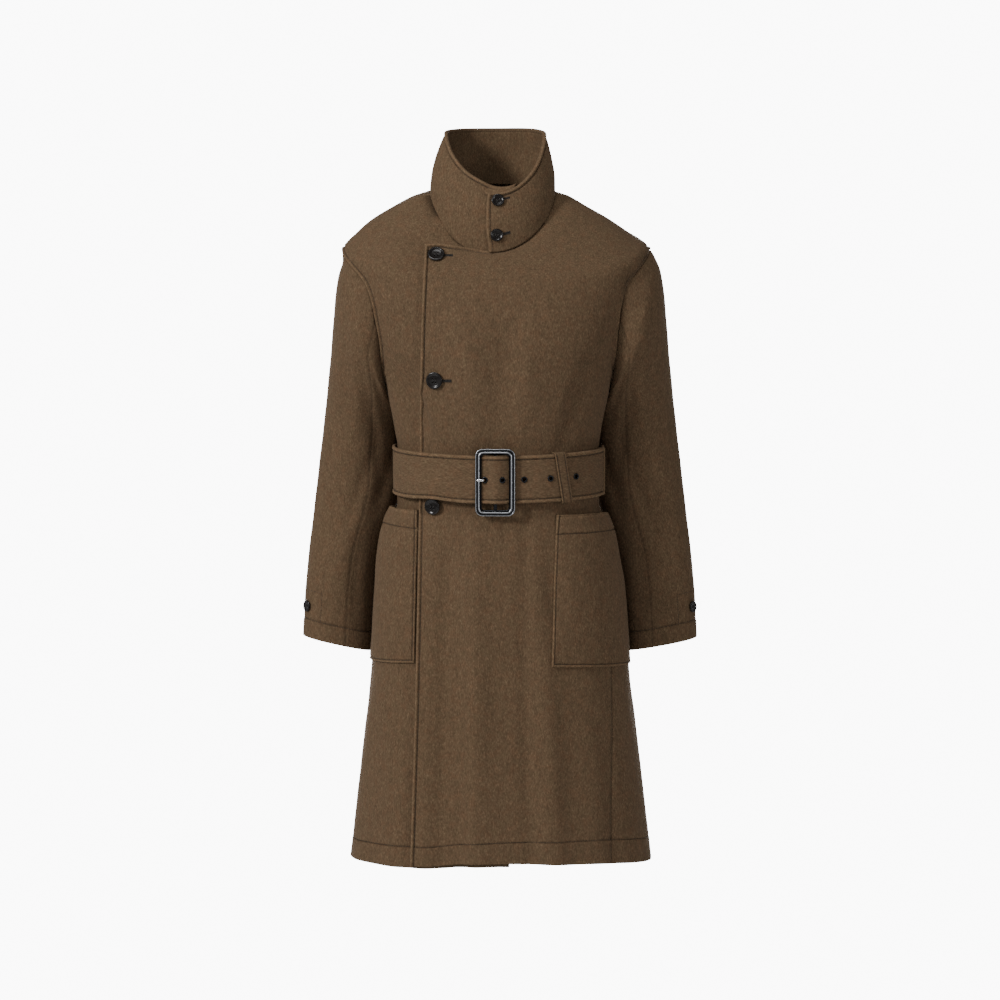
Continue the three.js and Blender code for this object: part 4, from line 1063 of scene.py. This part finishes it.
def beltBase(turn):
    turn = np.asarray(turn, float)
    wrapped = (turn + 180) % 360 - 180
    point = alongLine(waistTurns, waistPoints, wrapped)
    normal = unit(alongLine(waistTurns, waistNormals, wrapped))
    point[..., 2] = beltHeight - beltLook["dip"] * np.maximum(0, np.cos(np.radians(turn)))
    return point, normal


# Millimetres along the strap's second layer from a turn
def pastTurn(turn, start):
    return (turn - 360 - start) * beltLook["perTurn"]


# The strap climbs on its first layer, over the buckle's bar, under the keeper and over a button
def beltOut(turn, rise):
    along = pastTurn(turn, buckleTurn)
    mount = smooth(-130, -40, along) * (secondLayer - beltLook["off"])
    hump = 7 * np.exp(-((along / 13) ** 2))
    aside = (turn - keeperTurn + 540) % 360 - 180
    room = 5.5 * np.exp(-((pastTurn(turn, lowButtonTurn) / 30) ** 2)) * smooth(30, -30, rise)
    wave = 0.5 * np.sin(turn * 0.16 + rise * 0.02) * np.sin(turn * 0.071 + 1)
    out = beltLook["off"] + mount + hump + 0.9 * np.exp(-((aside / 12) ** 4))
    return out + np.where(turn > 200, room + wave, 0)


def beltPoint(turn, rise, out):
    turn, rise = np.broadcast_arrays(np.asarray(turn, float), np.asarray(rise, float))
    point, normal = beltBase(turn)
    point = point + normal * (beltOut(turn, rise) + out)[..., None]
    # The lower edge rides up on the button below it
    ride = 3.4 * np.exp(-((pastTurn(turn, lowButtonTurn) / 26) ** 2)) * smooth(0, -38, rise)
    point[..., 2] += rise + np.where(turn > 200, ride, 0)
    return point


turns = np.unique(np.round(np.r_[np.linspace(buckleTurn + 2.6, buckleTurn + 3.6, 8),
                                 np.linspace(buckleTurn + 3.6, 300, 190),
                                 np.linspace(300, buckleTurn + 380, 110),
                                 np.linspace(buckleTurn + 380, tipTurn - 4, 60),
                                 np.linspace(tipTurn - 4, tipTurn, 20)], 4))
rimStart = beltHalf - 2.4
rises = np.unique(np.round(np.r_[np.linspace(-beltHalf, -rimStart, 8), np.linspace(-rimStart, -30, 12),
                                 np.linspace(-30, 30, 19), np.linspace(30, rimStart, 12),
                                 np.linspace(rimStart, beltHalf, 8)], 4))[::-1]
turn, rise = np.meshgrid(turns, rises)
base = beltPoint(turn, rise, 0)
toEnds = np.minimum(distance(base, base[:, 0]), distance(base, base[:, -1]))
toEdge = np.minimum(beltHalf - np.abs(rise), toEnds)
out = rolled(toEdge, beltStitch, 1.1, 1.3) + puckers(base, toEdge, beltStitch, 0.16)
# The first layer stays flat under the second
out *= smooth(82, 94, turn)
sink = rim(toEdge, beltThick / 2 - 0.02)
walls = beltPoint(turn, rise, beltThick + out + sink), beltPoint(turn, rise, -sink)
# Painted highlight on the strap's edge rolls and painted shade in its stitch grooves
belt = wallObject("belt", *walls, beltWool, paintedLight=paintedEdgeLight(toEdge, beltStitch))
turns = np.linspace(buckleTurn + 5, tipTurn - 2.4, 900)
for sign in (1, -1):
    rise = np.full(turns.shape, sign * (beltHalf - beltStitch))
    stitchLine("belt", beltPoint(turns, rise, beltThick - 0.4))
rise = np.linspace(-beltHalf + beltStitch, beltHalf - beltStitch, 60)
stitchLine("belt", beltPoint(np.full(60, tipTurn - 2.7), rise, beltThick - 0.4))

eyeletXs = [-24, 3, 38.5, 78.5, 117.5]


def eyeletPlace(x):
    turn = float(spot(x, beltHeight)[0]) + 360
    across = beltPoint(turn + 0.6, 0, beltThick) - beltPoint(turn - 0.6, 0, beltThick)
    return beltPoint(turn, 0, beltThick), unit(np.cross(across, [0, 0, 1]))


# Turns points drawn with +Z outwards and +Y up to a place facing along a normal
def facing(points, place, normal):
    right = unit(np.cross([0, 0, 1], normal))
    top = np.cross(normal, right)
    points = np.asarray(points, float)
    return place + points[..., :1] * right + points[..., 1:2] * top + points[..., 2:] * normal


def lathe(profile, count):
    angle = np.linspace(0, 2 * np.pi, count, endpoint=False)
    profile = np.array(profile, float)
    x = profile[:, :1] * np.cos(angle)
    y = profile[:, :1] * np.sin(angle)
    return np.stack([x, y, np.repeat(profile[:, 1:], count, 1)], -1)


def sweepFaces(rows, columns, closedRows):
    last = rows if closedRows else rows - 1
    j, i = np.meshgrid(np.arange(last), np.arange(columns), indexing="ij")
    a, b = j * columns + i, j * columns + (i + 1) % columns
    c, d = (j + 1) % rows * columns + (i + 1) % columns, (j + 1) % rows * columns + i
    return np.stack([a, b, c, d], -1).reshape(-1, 4).tolist()


def cutWith(target, cutters):
    for cutter in cutters:
        cut = target.modifiers.new("hole", "BOOLEAN")
        cut.operation, cut.object, cut.solver = "DIFFERENCE", cutter, "MANIFOLD"
    graph = bpy.context.evaluated_depsgraph_get()
    result = bpy.data.meshes.new_from_object(target.evaluated_get(graph))
    target.modifiers.clear()
    target.data = result
    result.shade_smooth()
    for cutter in cutters:
        bpy.data.objects.remove(cutter)


def rod(radius, low, high, place, normal, count=32, shift=(0, 0)):
    angle = np.linspace(0, 2 * np.pi, count, endpoint=False)
    circle = np.stack([shift[0] + radius * np.cos(angle), shift[1] + radius * np.sin(angle)], -1)
    points = [facing(np.c_[circle, np.full(count, z)], place, normal) for z in (low, high)]
    faces = [[i, (i + 1) % count, count + (i + 1) % count, count + i] for i in range(count)]
    faces += [list(range(count))[::-1], list(range(count, 2 * count))]
    return makeObject("cutter", np.concatenate(points), faces, slitDark)


cutWith(belt, [rod(4.0, -beltThick - 2, 3, *eyeletPlace(x)) for x in eyeletXs])

# Metal eyelets set in the strap's holes
eyelets = []
eyeletProfile = [(3.1, 0.9)] + [(3.1 + 0.9 * (1 - math.cos(a)), 0.9 + 0.55 * math.sin(a))
                                for a in np.linspace(0.3, 1.5, 5)]
eyeletProfile += [(4.6, 1.4), (5.0, 1.1), (5.2, 0.7), (5.1, 0.35), (4.2, 0.2), (3.7, -0.4)]
eyeletProfile += [(3.6, 0.3 - beltThick), (3.2, 0.3 - beltThick), (3.1, 0.6 - beltThick)]
for number, x in enumerate(eyeletXs):
    place, normal = eyeletPlace(x)
    points = facing(lathe(eyeletProfile, 40), place + normal * 0.1, normal)
    faces = sweepFaces(len(eyeletProfile), 40, True)
    eyelets.append(makeObject(f"eyelet{number + 1}", points, faces, gunmetal))
print("belt made")

# The keeper: a narrow slanted loop of cloth round both layers
keeperLook = {"half": 8.5, "thick": 1.8, "lean": 9.5 * 0.6, "stitch": 5.9}
keeperHalf, keeperThick, keeperStitch = (keeperLook[key] for key in ("half", "thick", "stitch"))
keeperFront = float(beltOut(keeperTurn + 360, 0)) + beltThick + 0.3 + 2
keeperRear = beltLook["off"] - 0.4


def keeperPlace(across, rise, out):
    turn = keeperTurn + (across - keeperLook["lean"] * rise / beltHalf) / 2.6
    point, normal = beltBase(turn)
    point = point + normal * out[..., None]
    point[..., 2] += rise
    return point


def roundedLoop(tall, low, high, radius, count=7):
    corners = [(tall, high, 0), (-tall, high, 90), (-tall, low, 180), (tall, low, 270)]
    points = []
    for rise, out, angle in corners:
        a = np.radians(np.linspace(angle, angle + 90, count))
        rise0 = rise - math.copysign(radius, rise)
        out0 = out - radius if out == high else out + radius
        points += list(zip(rise0 + radius * np.cos(a), out0 + radius * np.sin(a)))
    loop = np.array(points + points[:1])
    run = np.r_[0, np.cumsum(np.linalg.norm(np.diff(loop, axis=0), axis=-1))]
    at = np.linspace(0, run[-1], 170, endpoint=False)
    return np.stack([np.interp(at, run, loop[:, 0]), np.interp(at, run, loop[:, 1])], -1)


across = np.unique(np.round(np.r_[np.linspace(-keeperHalf, -5, 16), np.linspace(-5, 5, 9),
                                  np.linspace(5, keeperHalf, 16)], 4))
wide = np.abs(across)
puff = 0.45 * np.sin(np.pi * np.clip((keeperHalf - wide) / 2.6, 0, 1))
puff = puff + groove(wide, keeperStitch, 0.4, 0.7)
sink = rim(keeperHalf - wide, keeperThick / 2 - 0.02)
loops = {}
for wall, grow, sign in (("outer", keeperThick, 1), ("inner", 0, -1)):
    rings = []
    for a, p, s in zip(across, puff, sink):
        extra = grow + (p + s if sign > 0 else -s)
        low, high = keeperRear - extra, keeperFront + extra
        loop = roundedLoop(beltHalf + 0.4 + extra, low, high, 1.6 + grow)
        rings.append(keeperPlace(np.full(len(loop), a), loop[:, 0], loop[:, 1]))
    loops[wall] = np.array(rings)
# Painted shade along the keeper's stitch lines and a painted highlight on its edges beyond them
paintedLight = paintedLineShade(wide, keeperStitch) + (wide > 7) * 0.8
paintedLight = np.broadcast_to(paintedLight[:, None], loops["outer"].shape[:2])
walls = loops["outer"], loops["inner"]
keeper = wallObject("beltKeeper", *walls, beltWool, ringed=True, paintedLight=paintedLight)
for sign in (1, -1):
    rise = np.linspace(beltHalf - 1, -beltHalf + 1, 60)
    out = np.full(60, keeperFront + keeperThick - 0.1)
    line = keeperPlace(np.full(60, sign * keeperStitch), rise, out)
    stitchLine("belt", line, pitch=3.4, length=2.6)

# The buckle: a frame of bevelled metal with a middle bar, lying in front of the strap
buckleLook = {"wide": 65.6, "tall": 110.7, "corner": 12, "down": 4}
bucklePlace, buckleNormal = beltBase(buckleTurn)
bucklePlace = bucklePlace + buckleNormal * (secondLayer + beltThick + 1)
bucklePlace = bucklePlace - np.array([0, 0, buckleLook["down"]])
# Across the frame from its outside inwards: distance, height, and whether it carries a painted
# highlight in a paler metal
buckleProfile = [
    (0.25, 0.3, 0), (0, 0.9, 0), (0, 2.4, 0), (0.25, 3.3, 1), (0.75, 3.75, 1), (1.35, 3.7, 1),
    (1.8, 3.2, 0), (2.4, 2.9, 0), (3.9, 2.85, 0), (4.4, 3.3, 0), (4.75, 4.5, 1), (5.3, 5.2, 1),
    (6.1, 5.45, 1), (6.9, 5.2, 1), (7.4, 4.5, 0), (8.1, 3.0, 0), (9.6, 1.9, 0), (10.3, 1.3, 0),
    (10.5, 0.7, 0), (10.2, 0.1, 0), (5, 0, 0), (1, 0, 0),
]


def roundedPath(wide, tall, radius, count=12):
    x, y = wide / 2 - radius, tall / 2 - radius
    points = []
    for cx, cy, start in ((x, y, 0), (-x, y, 90), (-x, -y, 180), (x, -y, 270)):
        a = np.radians(np.linspace(start, start + 90, count))
        points += [(cx + radius * math.cos(b), cy + radius * math.sin(b)) for b in a]
    return np.array(points)


rows = []
for inwards, height, _ in buckleProfile:
    path = roundedPath(buckleLook["wide"] - 2 * inwards, buckleLook["tall"] - 2 * inwards,
                       buckleLook["corner"] - inwards * 0.72)
    rows.append(np.c_[path, np.full(len(path), height)])
points = facing(np.array(rows), bucklePlace, buckleNormal)
count = points.shape[1]
faces = sweepFaces(len(rows), count, True)
buckle = makeObject("buckle", points, faces, [gunmetal, paintedHighlightMetal])
# Rows that carry a painted highlight take the paler metal
for number, polygon in enumerate(buckle.data.polygons):
    row = number // count
    polygon.material_index = buckleProfile[row][2] & buckleProfile[(row + 1) % len(rows)][2]
# The middle bar joins the frame's top and bottom
bar = [(3 * math.cos(a), 3 * math.sin(a) - 2)
       for a in np.linspace(0, 2 * np.pi, 20, endpoint=False)]
points = [facing([(x, y, z) for x, z in bar], bucklePlace, buckleNormal)
          for y in np.linspace(-50, 50, 9)]
buckleBar = makeObject("buckleBar", np.array(points)[::-1], sweepFaces(9, 20, False), gunmetal)

# The prong lies over the frame's side, its tip beside the outer rim
prongLine = np.array([(-3.8, -3.4), (-10, -4.6), (-14.4, -5.2), (-16.2, -3.8), (-17.4, 2),
                      (-19.2, 5.6), (-22, 7.2), (-30.6, 7.2)])
run = np.r_[0, np.cumsum(lengthOf(np.diff(prongLine, axis=0)))]
at = np.linspace(0, run[-1], 48)
path = np.stack([reader(run, prongLine[:, 0])(at), reader(run, prongLine[:, 1])(at)], -1)
ahead = unit(np.gradient(path, axis=0))
taper = np.minimum(1, np.sqrt(np.clip((run[-1] - at) / 2.2, 0.02, 1)))
rings = []
for (x, z), (dx, dz), size in zip(path, ahead, taper):
    a = np.linspace(0, 2 * np.pi, 16, endpoint=False)
    wide, tall = 1.9 * size * np.cos(a), 1.2 * size * np.sin(a)
    rings.append(np.c_[x - dz * tall, 4 + wide, z + dx * tall])
points = facing(np.array(rings), bucklePlace, buckleNormal)
faces = sweepFaces(48, 16, False) + [list(range(16))[::-1], list(range(47 * 16, 48 * 16))]
prong = makeObject("buckleProng", points, faces, steel)
print("buckle made")

# Buttons: a dished face with a raised rim, four holes and crossed-over thread
buttonLook = {"front": (28, 4.6), "collar": (21, 4), "cuff": (19, 4), "holeOut": 0.095,
              "holeRadius": 0.048}


# Shares of the radius and of the thickness, from the middle of the back to that of the face
def buttonProfile(radius, thick):
    shares = [(0, 0), (0.72, 0), (0.86, 0.12)]
    shares += [(0.9 + 0.1 * math.cos(a), 0.56 + 0.36 * math.sin(a))
               for a in np.linspace(-1.2, 1.5, 12)]
    shares += [(0.84, 0.97), (0.78, 0.93), (0.72, 0.82), (0.66, 0.72), (0.58, 0.66), (0.4, 0.62),
               (0.2, 0.6), (0, 0.6)]
    return [(max(0.001, radius * across), thick * up) for across, up in shares]


def button(name, kind, place, normal, lift, tilt=(0, 0)):
    width, thick = buttonLook[kind]
    normal = unit(np.asarray(normal) + np.array([tilt[0], 0, tilt[1]]))
    place = place + normal * lift
    profile = buttonProfile(width / 2, thick)
    count = 56
    points = facing(lathe(profile, count), place, normal)
    faces = sweepFaces(len(profile), count, False)
    last = (len(profile) - 1) * count
    faces += [list(range(count))[::-1], list(range(last, last + count))]
    disc = makeObject(name, points, faces, horn)
    shift, hole = width * buttonLook["holeOut"], width * buttonLook["holeRadius"]
    cutWith(disc, [rod(hole, -1, thick * 2, place, normal, 18, (x * shift, y * shift))
                   for x, y in ((1, 1), (-1, 1), (-1, -1), (1, -1))])
    # Two bars of thread between the holes
    for sign in (1, -1):
        for aside in (-0.35, 0.35):
            arch = [(sign * shift + aside, y, thick * 0.62 + 0.35 * (1 - (y / shift) ** 2))
                    for y in np.linspace(-shift, shift, 9)]
            line = facing(arch, place, normal)
            stitchLine("buttons", line, pitch=shift * 2.2, length=shift * 2.1)
    return disc


def onFront(x, z):
    turn, height = spot(x, z)
    return bodyPoint(turn, height), bodyNormal(turn, height)


def onCollar(turn, at):
    point = collarPoint(turn, at)
    across = collarPoint(turn + 2, at) - collarPoint(turn - 2, at)
    normal = unit(np.cross(across, collarPoint(turn, at + 0.02) - point))
    return point + normal * collarThick / 2, normal


def onSleeve(side, at, angle):
    angles = np.array([angle - 3, angle, angle + 3], float)
    grid, normal = sleeveFace(side, angles, np.array([at - 0.1, at, at + 0.1]))
    around = grid[1, 2] - grid[1, 0]
    normal = unit(np.cross(around, grid[2, 1] - grid[0, 1])) * side
    return grid[1, 1], normal


# Each front button's place, its height on its shank and its tilt
frontButtons = [
    (-105, -104, 0.6, (0.02, 0.03)),
    (-107, -309, 0.6, (-0.03, 0.02)),
    (-109, -516.5, 3.4, (0.04, -0.16)),
]
collarButtons = (0.86, 0.27)
cuffSection, cuffAngle = 11.78, 30
buttons = []
for number, (x, z, up, tilt) in enumerate(frontButtons):
    buttons.append(button(f"buttonFront{number + 1}", "front", *onFront(x, z), up, tilt))
for number, at in enumerate(collarButtons):
    buttons.append(button(f"buttonCollar{number + 1}", "collar", *onCollar(5, at), 0.5))
for name, side in (("buttonCuffLeft", 1), ("buttonCuffRight", -1)):
    buttons.append(button(name, "cuff", *onSleeve(side, cuffSection, cuffAngle), 0.5))
print("buttons made")


# Buttonholes: a dark sheet on the cloth that paints the shadow inside the slit, with thread worked
# round it
slitLook = {"half": 0.75, "long": 19, "pitch": 0.85, "purl": 2.0, "aside": 1.55}
slits = []


def slitAlong(line, normal, name):
    t = np.linspace(0, 1, len(line))
    half = slitLook["half"] * np.sqrt(np.clip(1 - (2 * t - 1) ** 6, 0.01, 1))
    up = np.cross(normal, unit(np.gradient(line, axis=0)))
    top = line + up * half[:, None] + normal * 0.16
    foot = line - up * half[:, None] + normal * 0.16
    outer = np.stack([top, line + normal * 0.2, foot])
    slits.append(wallObject(name, outer, outer - normal[None] * 0.5, slitDark))
    # Purl stitches across the edges
    run = np.r_[0, np.cumsum(lengthOf(np.diff(line, axis=0)))]
    for at in np.arange(0.4, run[-1], slitLook["pitch"]):
        upward, outwards = unit(alongLine(run, up, at)), unit(alongLine(run, normal, at))
        for sign in (1, -1):
            centre = alongLine(run, line, at) + upward * sign * slitLook["aside"] + outwards * 0.22
            purl = np.r_[centre, upward * slitLook["purl"]][None]
            stitchRuns.setdefault("holes", []).append(purl)


for name, x, z in (("buttonhole1", -96, -104.6), ("buttonhole2", -98, -309.6)):
    place = spot(np.linspace(x, x + slitLook["long"], 40), np.full(40, z))
    slitAlong(bodyPoint(*place), bodyNormal(*place), name)
for number, at in enumerate(collarButtons):
    line = collarLine(np.linspace(7, 20, 30), np.full(30, at), collarThick / 2)
    normals = unit(np.cross(unit(np.gradient(line, axis=0)), [0, 0, 1]))
    slitAlong(line, normals, f"collarButtonhole{number + 1}")


# Every stitch is an instance on a point that knows its direction and length
def stitchNodes(material):
    group = bpy.data.node_groups.new("stitches", "GeometryNodeTree")
    face = group.interface
    face.new_socket("Geometry", in_out="INPUT", socket_type="NodeSocketGeometry")
    face.new_socket("Thread radius", in_out="INPUT", socket_type="NodeSocketFloat")
    face.new_socket("Seed", in_out="INPUT", socket_type="NodeSocketInt")
    face.new_socket("Geometry", in_out="OUTPUT", socket_type="NodeSocketGeometry")
    source = node(group, "NodeGroupInput", (-900, 0))
    sink = node(group, "NodeGroupOutput", (900, 0))
    capsule = node(group, "GeometryNodeMeshUVSphere", (-600, -200))
    capsule.inputs["Segments"].default_value = 6
    capsule.inputs["Rings"].default_value = 5
    capsule.inputs["Radius"].default_value = 1
    along = node(group, "GeometryNodeInputNamedAttribute", (-600, 200), data_type="FLOAT_VECTOR")
    along.inputs["Name"].default_value = "along"
    turned = node(group, "FunctionNodeAlignRotationToVector", (-300, 200), axis="Z")
    length = node(group, "ShaderNodeVectorMath", (-300, 0), operation="LENGTH")
    spread = node(group, "FunctionNodeRandomValue", (-600, -450), data_type="FLOAT")
    spread.inputs[2].default_value = 0.85
    spread.inputs[3].default_value = 1.15
    girth = node(group, "ShaderNodeMath", (-300, -300), operation="MULTIPLY")
    half = node(group, "ShaderNodeMath", (-100, -100), operation="MULTIPLY")
    half.inputs[1].default_value = 0.52
    size = node(group, "ShaderNodeCombineXYZ", (100, -200))
    place = node(group, "GeometryNodeInstanceOnPoints", (300, 0))
    real = node(group, "GeometryNodeRealizeInstances", (500, 0))
    finish = node(group, "GeometryNodeSetMaterial", (700, 0))
    finish.inputs["Material"].default_value = material
    link = group.links.new
    link(source.outputs["Geometry"], place.inputs["Points"])
    link(capsule.outputs["Mesh"], place.inputs["Instance"])
    link(along.outputs["Attribute"], turned.inputs["Vector"])
    link(along.outputs["Attribute"], length.inputs[0])
    link(turned.outputs["Rotation"], place.inputs["Rotation"])
    link(source.outputs["Seed"], spread.inputs["Seed"])
    link(spread.outputs[1], girth.inputs[0])
    link(source.outputs["Thread radius"], girth.inputs[1])
    link(length.outputs["Value"], half.inputs[0])
    link(girth.outputs[0], size.inputs["X"])
    link(girth.outputs[0], size.inputs["Y"])
    link(half.outputs[0], size.inputs["Z"])
    link(size.outputs["Vector"], place.inputs["Scale"])
    link(place.outputs["Instances"], real.inputs["Geometry"])
    link(real.outputs["Geometry"], finish.inputs["Geometry"])
    link(finish.outputs["Geometry"], sink.inputs["Geometry"])
    return group


def stitchObject(name, runs, radius, material, seed):
    data = np.concatenate(runs) * metre
    mesh = bpy.data.meshes.new(name)
    mesh.from_pydata(data[:, :3].tolist(), [], [])
    along = mesh.attributes.new("along", "FLOAT_VECTOR", "POINT")
    along.data.foreach_set("vector", data[:, 3:].ravel())
    made = bpy.data.objects.new(name, mesh)
    bpy.context.scene.collection.objects.link(made)
    grown = made.modifiers.new("stitches", "NODES")
    grown.node_group = stitchNodes(material)
    values = {"Thread radius": radius * metre, "Seed": seed}
    for item in grown.node_group.interface.items_tree:
        if item.in_out == "INPUT" and item.name in values:
            grown[item.identifier] = values[item.name]
    bpy.context.view_layer.update()
    graph = bpy.context.evaluated_depsgraph_get()
    result = bpy.data.meshes.new_from_object(made.evaluated_get(graph))
    made.modifiers.clear()
    made.data = result
    result.shade_smooth()
    return made


threadRadius = {"body": 0.42, "sleeves": 0.42, "collar": 0.42, "pockets": 0.42, "belt": 0.42,
                "holes": 0.34, "buttons": 0.45}
threads = {}
for seed, (group, radius) in enumerate(threadRadius.items(), 3):
    material = darkThread if group in ("holes", "buttons") else thread
    threads[group] = stitchObject(group + "Stitches", stitchRuns[group], radius, material, seed)
print("stitches made", {name: len(piece.data.polygons) for name, piece in threads.items()})

# Each piece rides on the coat's one body and stands for its CAD node
stands = {
    frontLeft: ("front_left", "wool"),
    frontRight: ("front_right", "wool"),
    back: ("back", "wool"),
    sleeveLeft: ("sleeve_left", "wool"),
    sleeveRight: ("sleeve_right", "wool"),
    collar: ("collar", "wool"),
    pocketPieces["pocketLeft"]: ("pocket_left", "wool"),
    pocketPieces["pocketRight"]: ("pocket_right", "wool"),
    belt: ("belt", "wool"),
    keeper: ("belt_keeper", "wool"),
    buckle: ("buckle", "gunmetal"),
    prong: ("buckle_prong", "steel"),
}
stands.update({piece: (f"eyelet_{i + 1}", "gunmetal") for i, piece in enumerate(eyelets)})
names = ["button_front_1", "button_front_2", "button_front_3", "button_collar_1", "button_collar_2",
         "button_cuff_left", "button_cuff_right"]
stands.update({piece: (name, "button") for piece, name in zip(buttons, names)})
for piece, (name, slot) in stands.items():
    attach(piece, "root")
    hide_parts(name)
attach(buckleBar, "root")
for piece in [*threads.values(), *slits]:
    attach(piece, "root")

# Each cloth as it was cut, hidden parts included: flat size and area in metres, what carries it
sheets = {
    frontLeft: ((0.52, 1.11), 0.42, ["back"]),
    frontRight: ((0.47, 1.11), 0.38, ["back"]),
    back: ((0.8, 1.13), 0.66, ["shoulders"]),
    sleeveLeft: ((0.46, 0.68), 0.235, ["frontLeft"]),
    sleeveRight: ((0.46, 0.68), 0.235, ["frontRight"]),
    collar: ((0.6, 0.112), 0.06, ["back"]),
    pocketPieces["pocketLeft"]: ((0.25, 0.25), 0.06, ["frontLeft"]),
    pocketPieces["pocketRight"]: ((0.25, 0.25), 0.06, ["frontRight"]),
    belt: ((1.24, 0.079), None, ["frontLeft", "back"]),
    keeper: ((0.23, 0.017), None, ["belt"]),
}
for piece, (flat, area, rests) in sheets.items():
    surface = sum(polygon.area for polygon in piece.data.polygons) / 2
    print("sheet", piece.name, "measures", round(surface, 4), "cut", area or flat[0] * flat[1])

# A plain pale floor far below the hem, soft light from the front and the upper left, and a pale
# horizon and backdrop that the camera sees
studioLook = {"horizon": 0.42, "around": 0.17, "backdrop": 9.5, "key": 225, "fill": 50, "top": 40,
              "floorReach": 2400, "floorHeight": -1900}
floorMaterial = plainMaterial("floor", (0.95, 0.95, 0.95), 0.9)
corners = [(x * studioLook["floorReach"], y * studioLook["floorReach"], studioLook["floorHeight"])
           for x, y in ((-1, -1), (1, -1), (1, 1), (-1, 1))]
floor = makeObject("floor", corners, [[0, 1, 2, 3]], floorMaterial, smoothed=False)
world = bpy.data.worlds.new("studio")
bpy.context.scene.world = world
world.use_nodes = True
tree = world.node_tree
tree.nodes["Background"].inputs["Color"].default_value = (1, 1, 1, 1)
split = node(tree, "ShaderNodeSeparateXYZ", (-900, 0))
tree.links.new(node(tree, "ShaderNodeTexCoord", (-1100, 0)).outputs["Generated"], split.inputs[0])
band = []
for low, high in ((-0.3, -0.2), (0.16, 0.06)):
    place = (-700, 300 * len(band))
    edge = node(tree, "ShaderNodeMapRange", place, interpolation_type="SMOOTHSTEP")
    edge.inputs["From Min"].default_value = low
    edge.inputs["From Max"].default_value = high
    tree.links.new(split.outputs["Z"], edge.inputs["Value"])
    band.append(edge.outputs["Result"])
both = node(tree, "ShaderNodeMath", (-450, 100), operation="MULTIPLY")
tree.links.new(band[0], both.inputs[0])
tree.links.new(band[1], both.inputs[1])
glow = node(tree, "ShaderNodeMath", (-250, 100), operation="MULTIPLY_ADD")
glow.inputs[1].default_value = studioLook["horizon"]
glow.inputs[2].default_value = studioLook["around"]
tree.links.new(both.outputs[0], glow.inputs[0])
behind = node(tree, "ShaderNodeMapRange", (-700, 600), interpolation_type="SMOOTHSTEP")
behind.inputs["From Min"].default_value = 0.9
behind.inputs["From Max"].default_value = 0.97
behind.inputs["To Max"].default_value = studioLook["backdrop"]
tree.links.new(split.outputs["Y"], behind.inputs["Value"])
whole = node(tree, "ShaderNodeMath", (-100, 100), operation="ADD")
tree.links.new(glow.outputs[0], whole.inputs[0])
tree.links.new(behind.outputs["Result"], whole.inputs[1])
tree.links.new(whole.outputs[0], tree.nodes["Background"].inputs["Strength"])


def softLight(name, place, height, size, power):
    data = bpy.data.lights.new(name, "AREA")
    data.shape, data.size, data.size_y = "RECTANGLE", size[0], size[1]
    data.energy = power
    made = bpy.data.objects.new(name, data)
    made.location = place
    made.rotation_mode = "QUATERNION"
    towards = Vector((0, 0, height)) - Vector(place)
    made.rotation_quaternion = towards.to_track_quat("-Z", "Y")
    bpy.context.scene.collection.objects.link(made)


softLight("keyLight", (-3.5, -2.8, 1.7), -0.5, (0.7, 1.2), studioLook["key"])
softLight("fillLight", (3.1, -3.1, 0.3), -0.6, (1.2, 1.8), studioLook["fill"])
softLight("topLight", (-0.6, -1.6, 2.6), -0.4, (1.2, 1.2), studioLook["top"])

# The camera, in front and slightly above
cameraLook = {"sensor": 36, "lens": 172.5, "above": 4, "away": 8, "height": -0.5144}
camera = bpy.data.objects.new("camera", bpy.data.cameras.new("camera"))
camera.data.sensor_width = cameraLook["sensor"]
camera.data.lens = cameraLook["lens"]
angle = math.radians(cameraLook["above"])
away = Vector((0, -math.cos(angle), math.sin(angle)))
camera.location = Vector((0, 0, cameraLook["height"])) + away * cameraLook["away"]
camera.rotation_mode = "QUATERNION"
camera.rotation_quaternion = (-away).to_track_quat("-Z", "Y")
camera.data.clip_end = 200
bpy.context.scene.collection.objects.link(camera)
bpy.context.scene.camera = camera

print("ready")
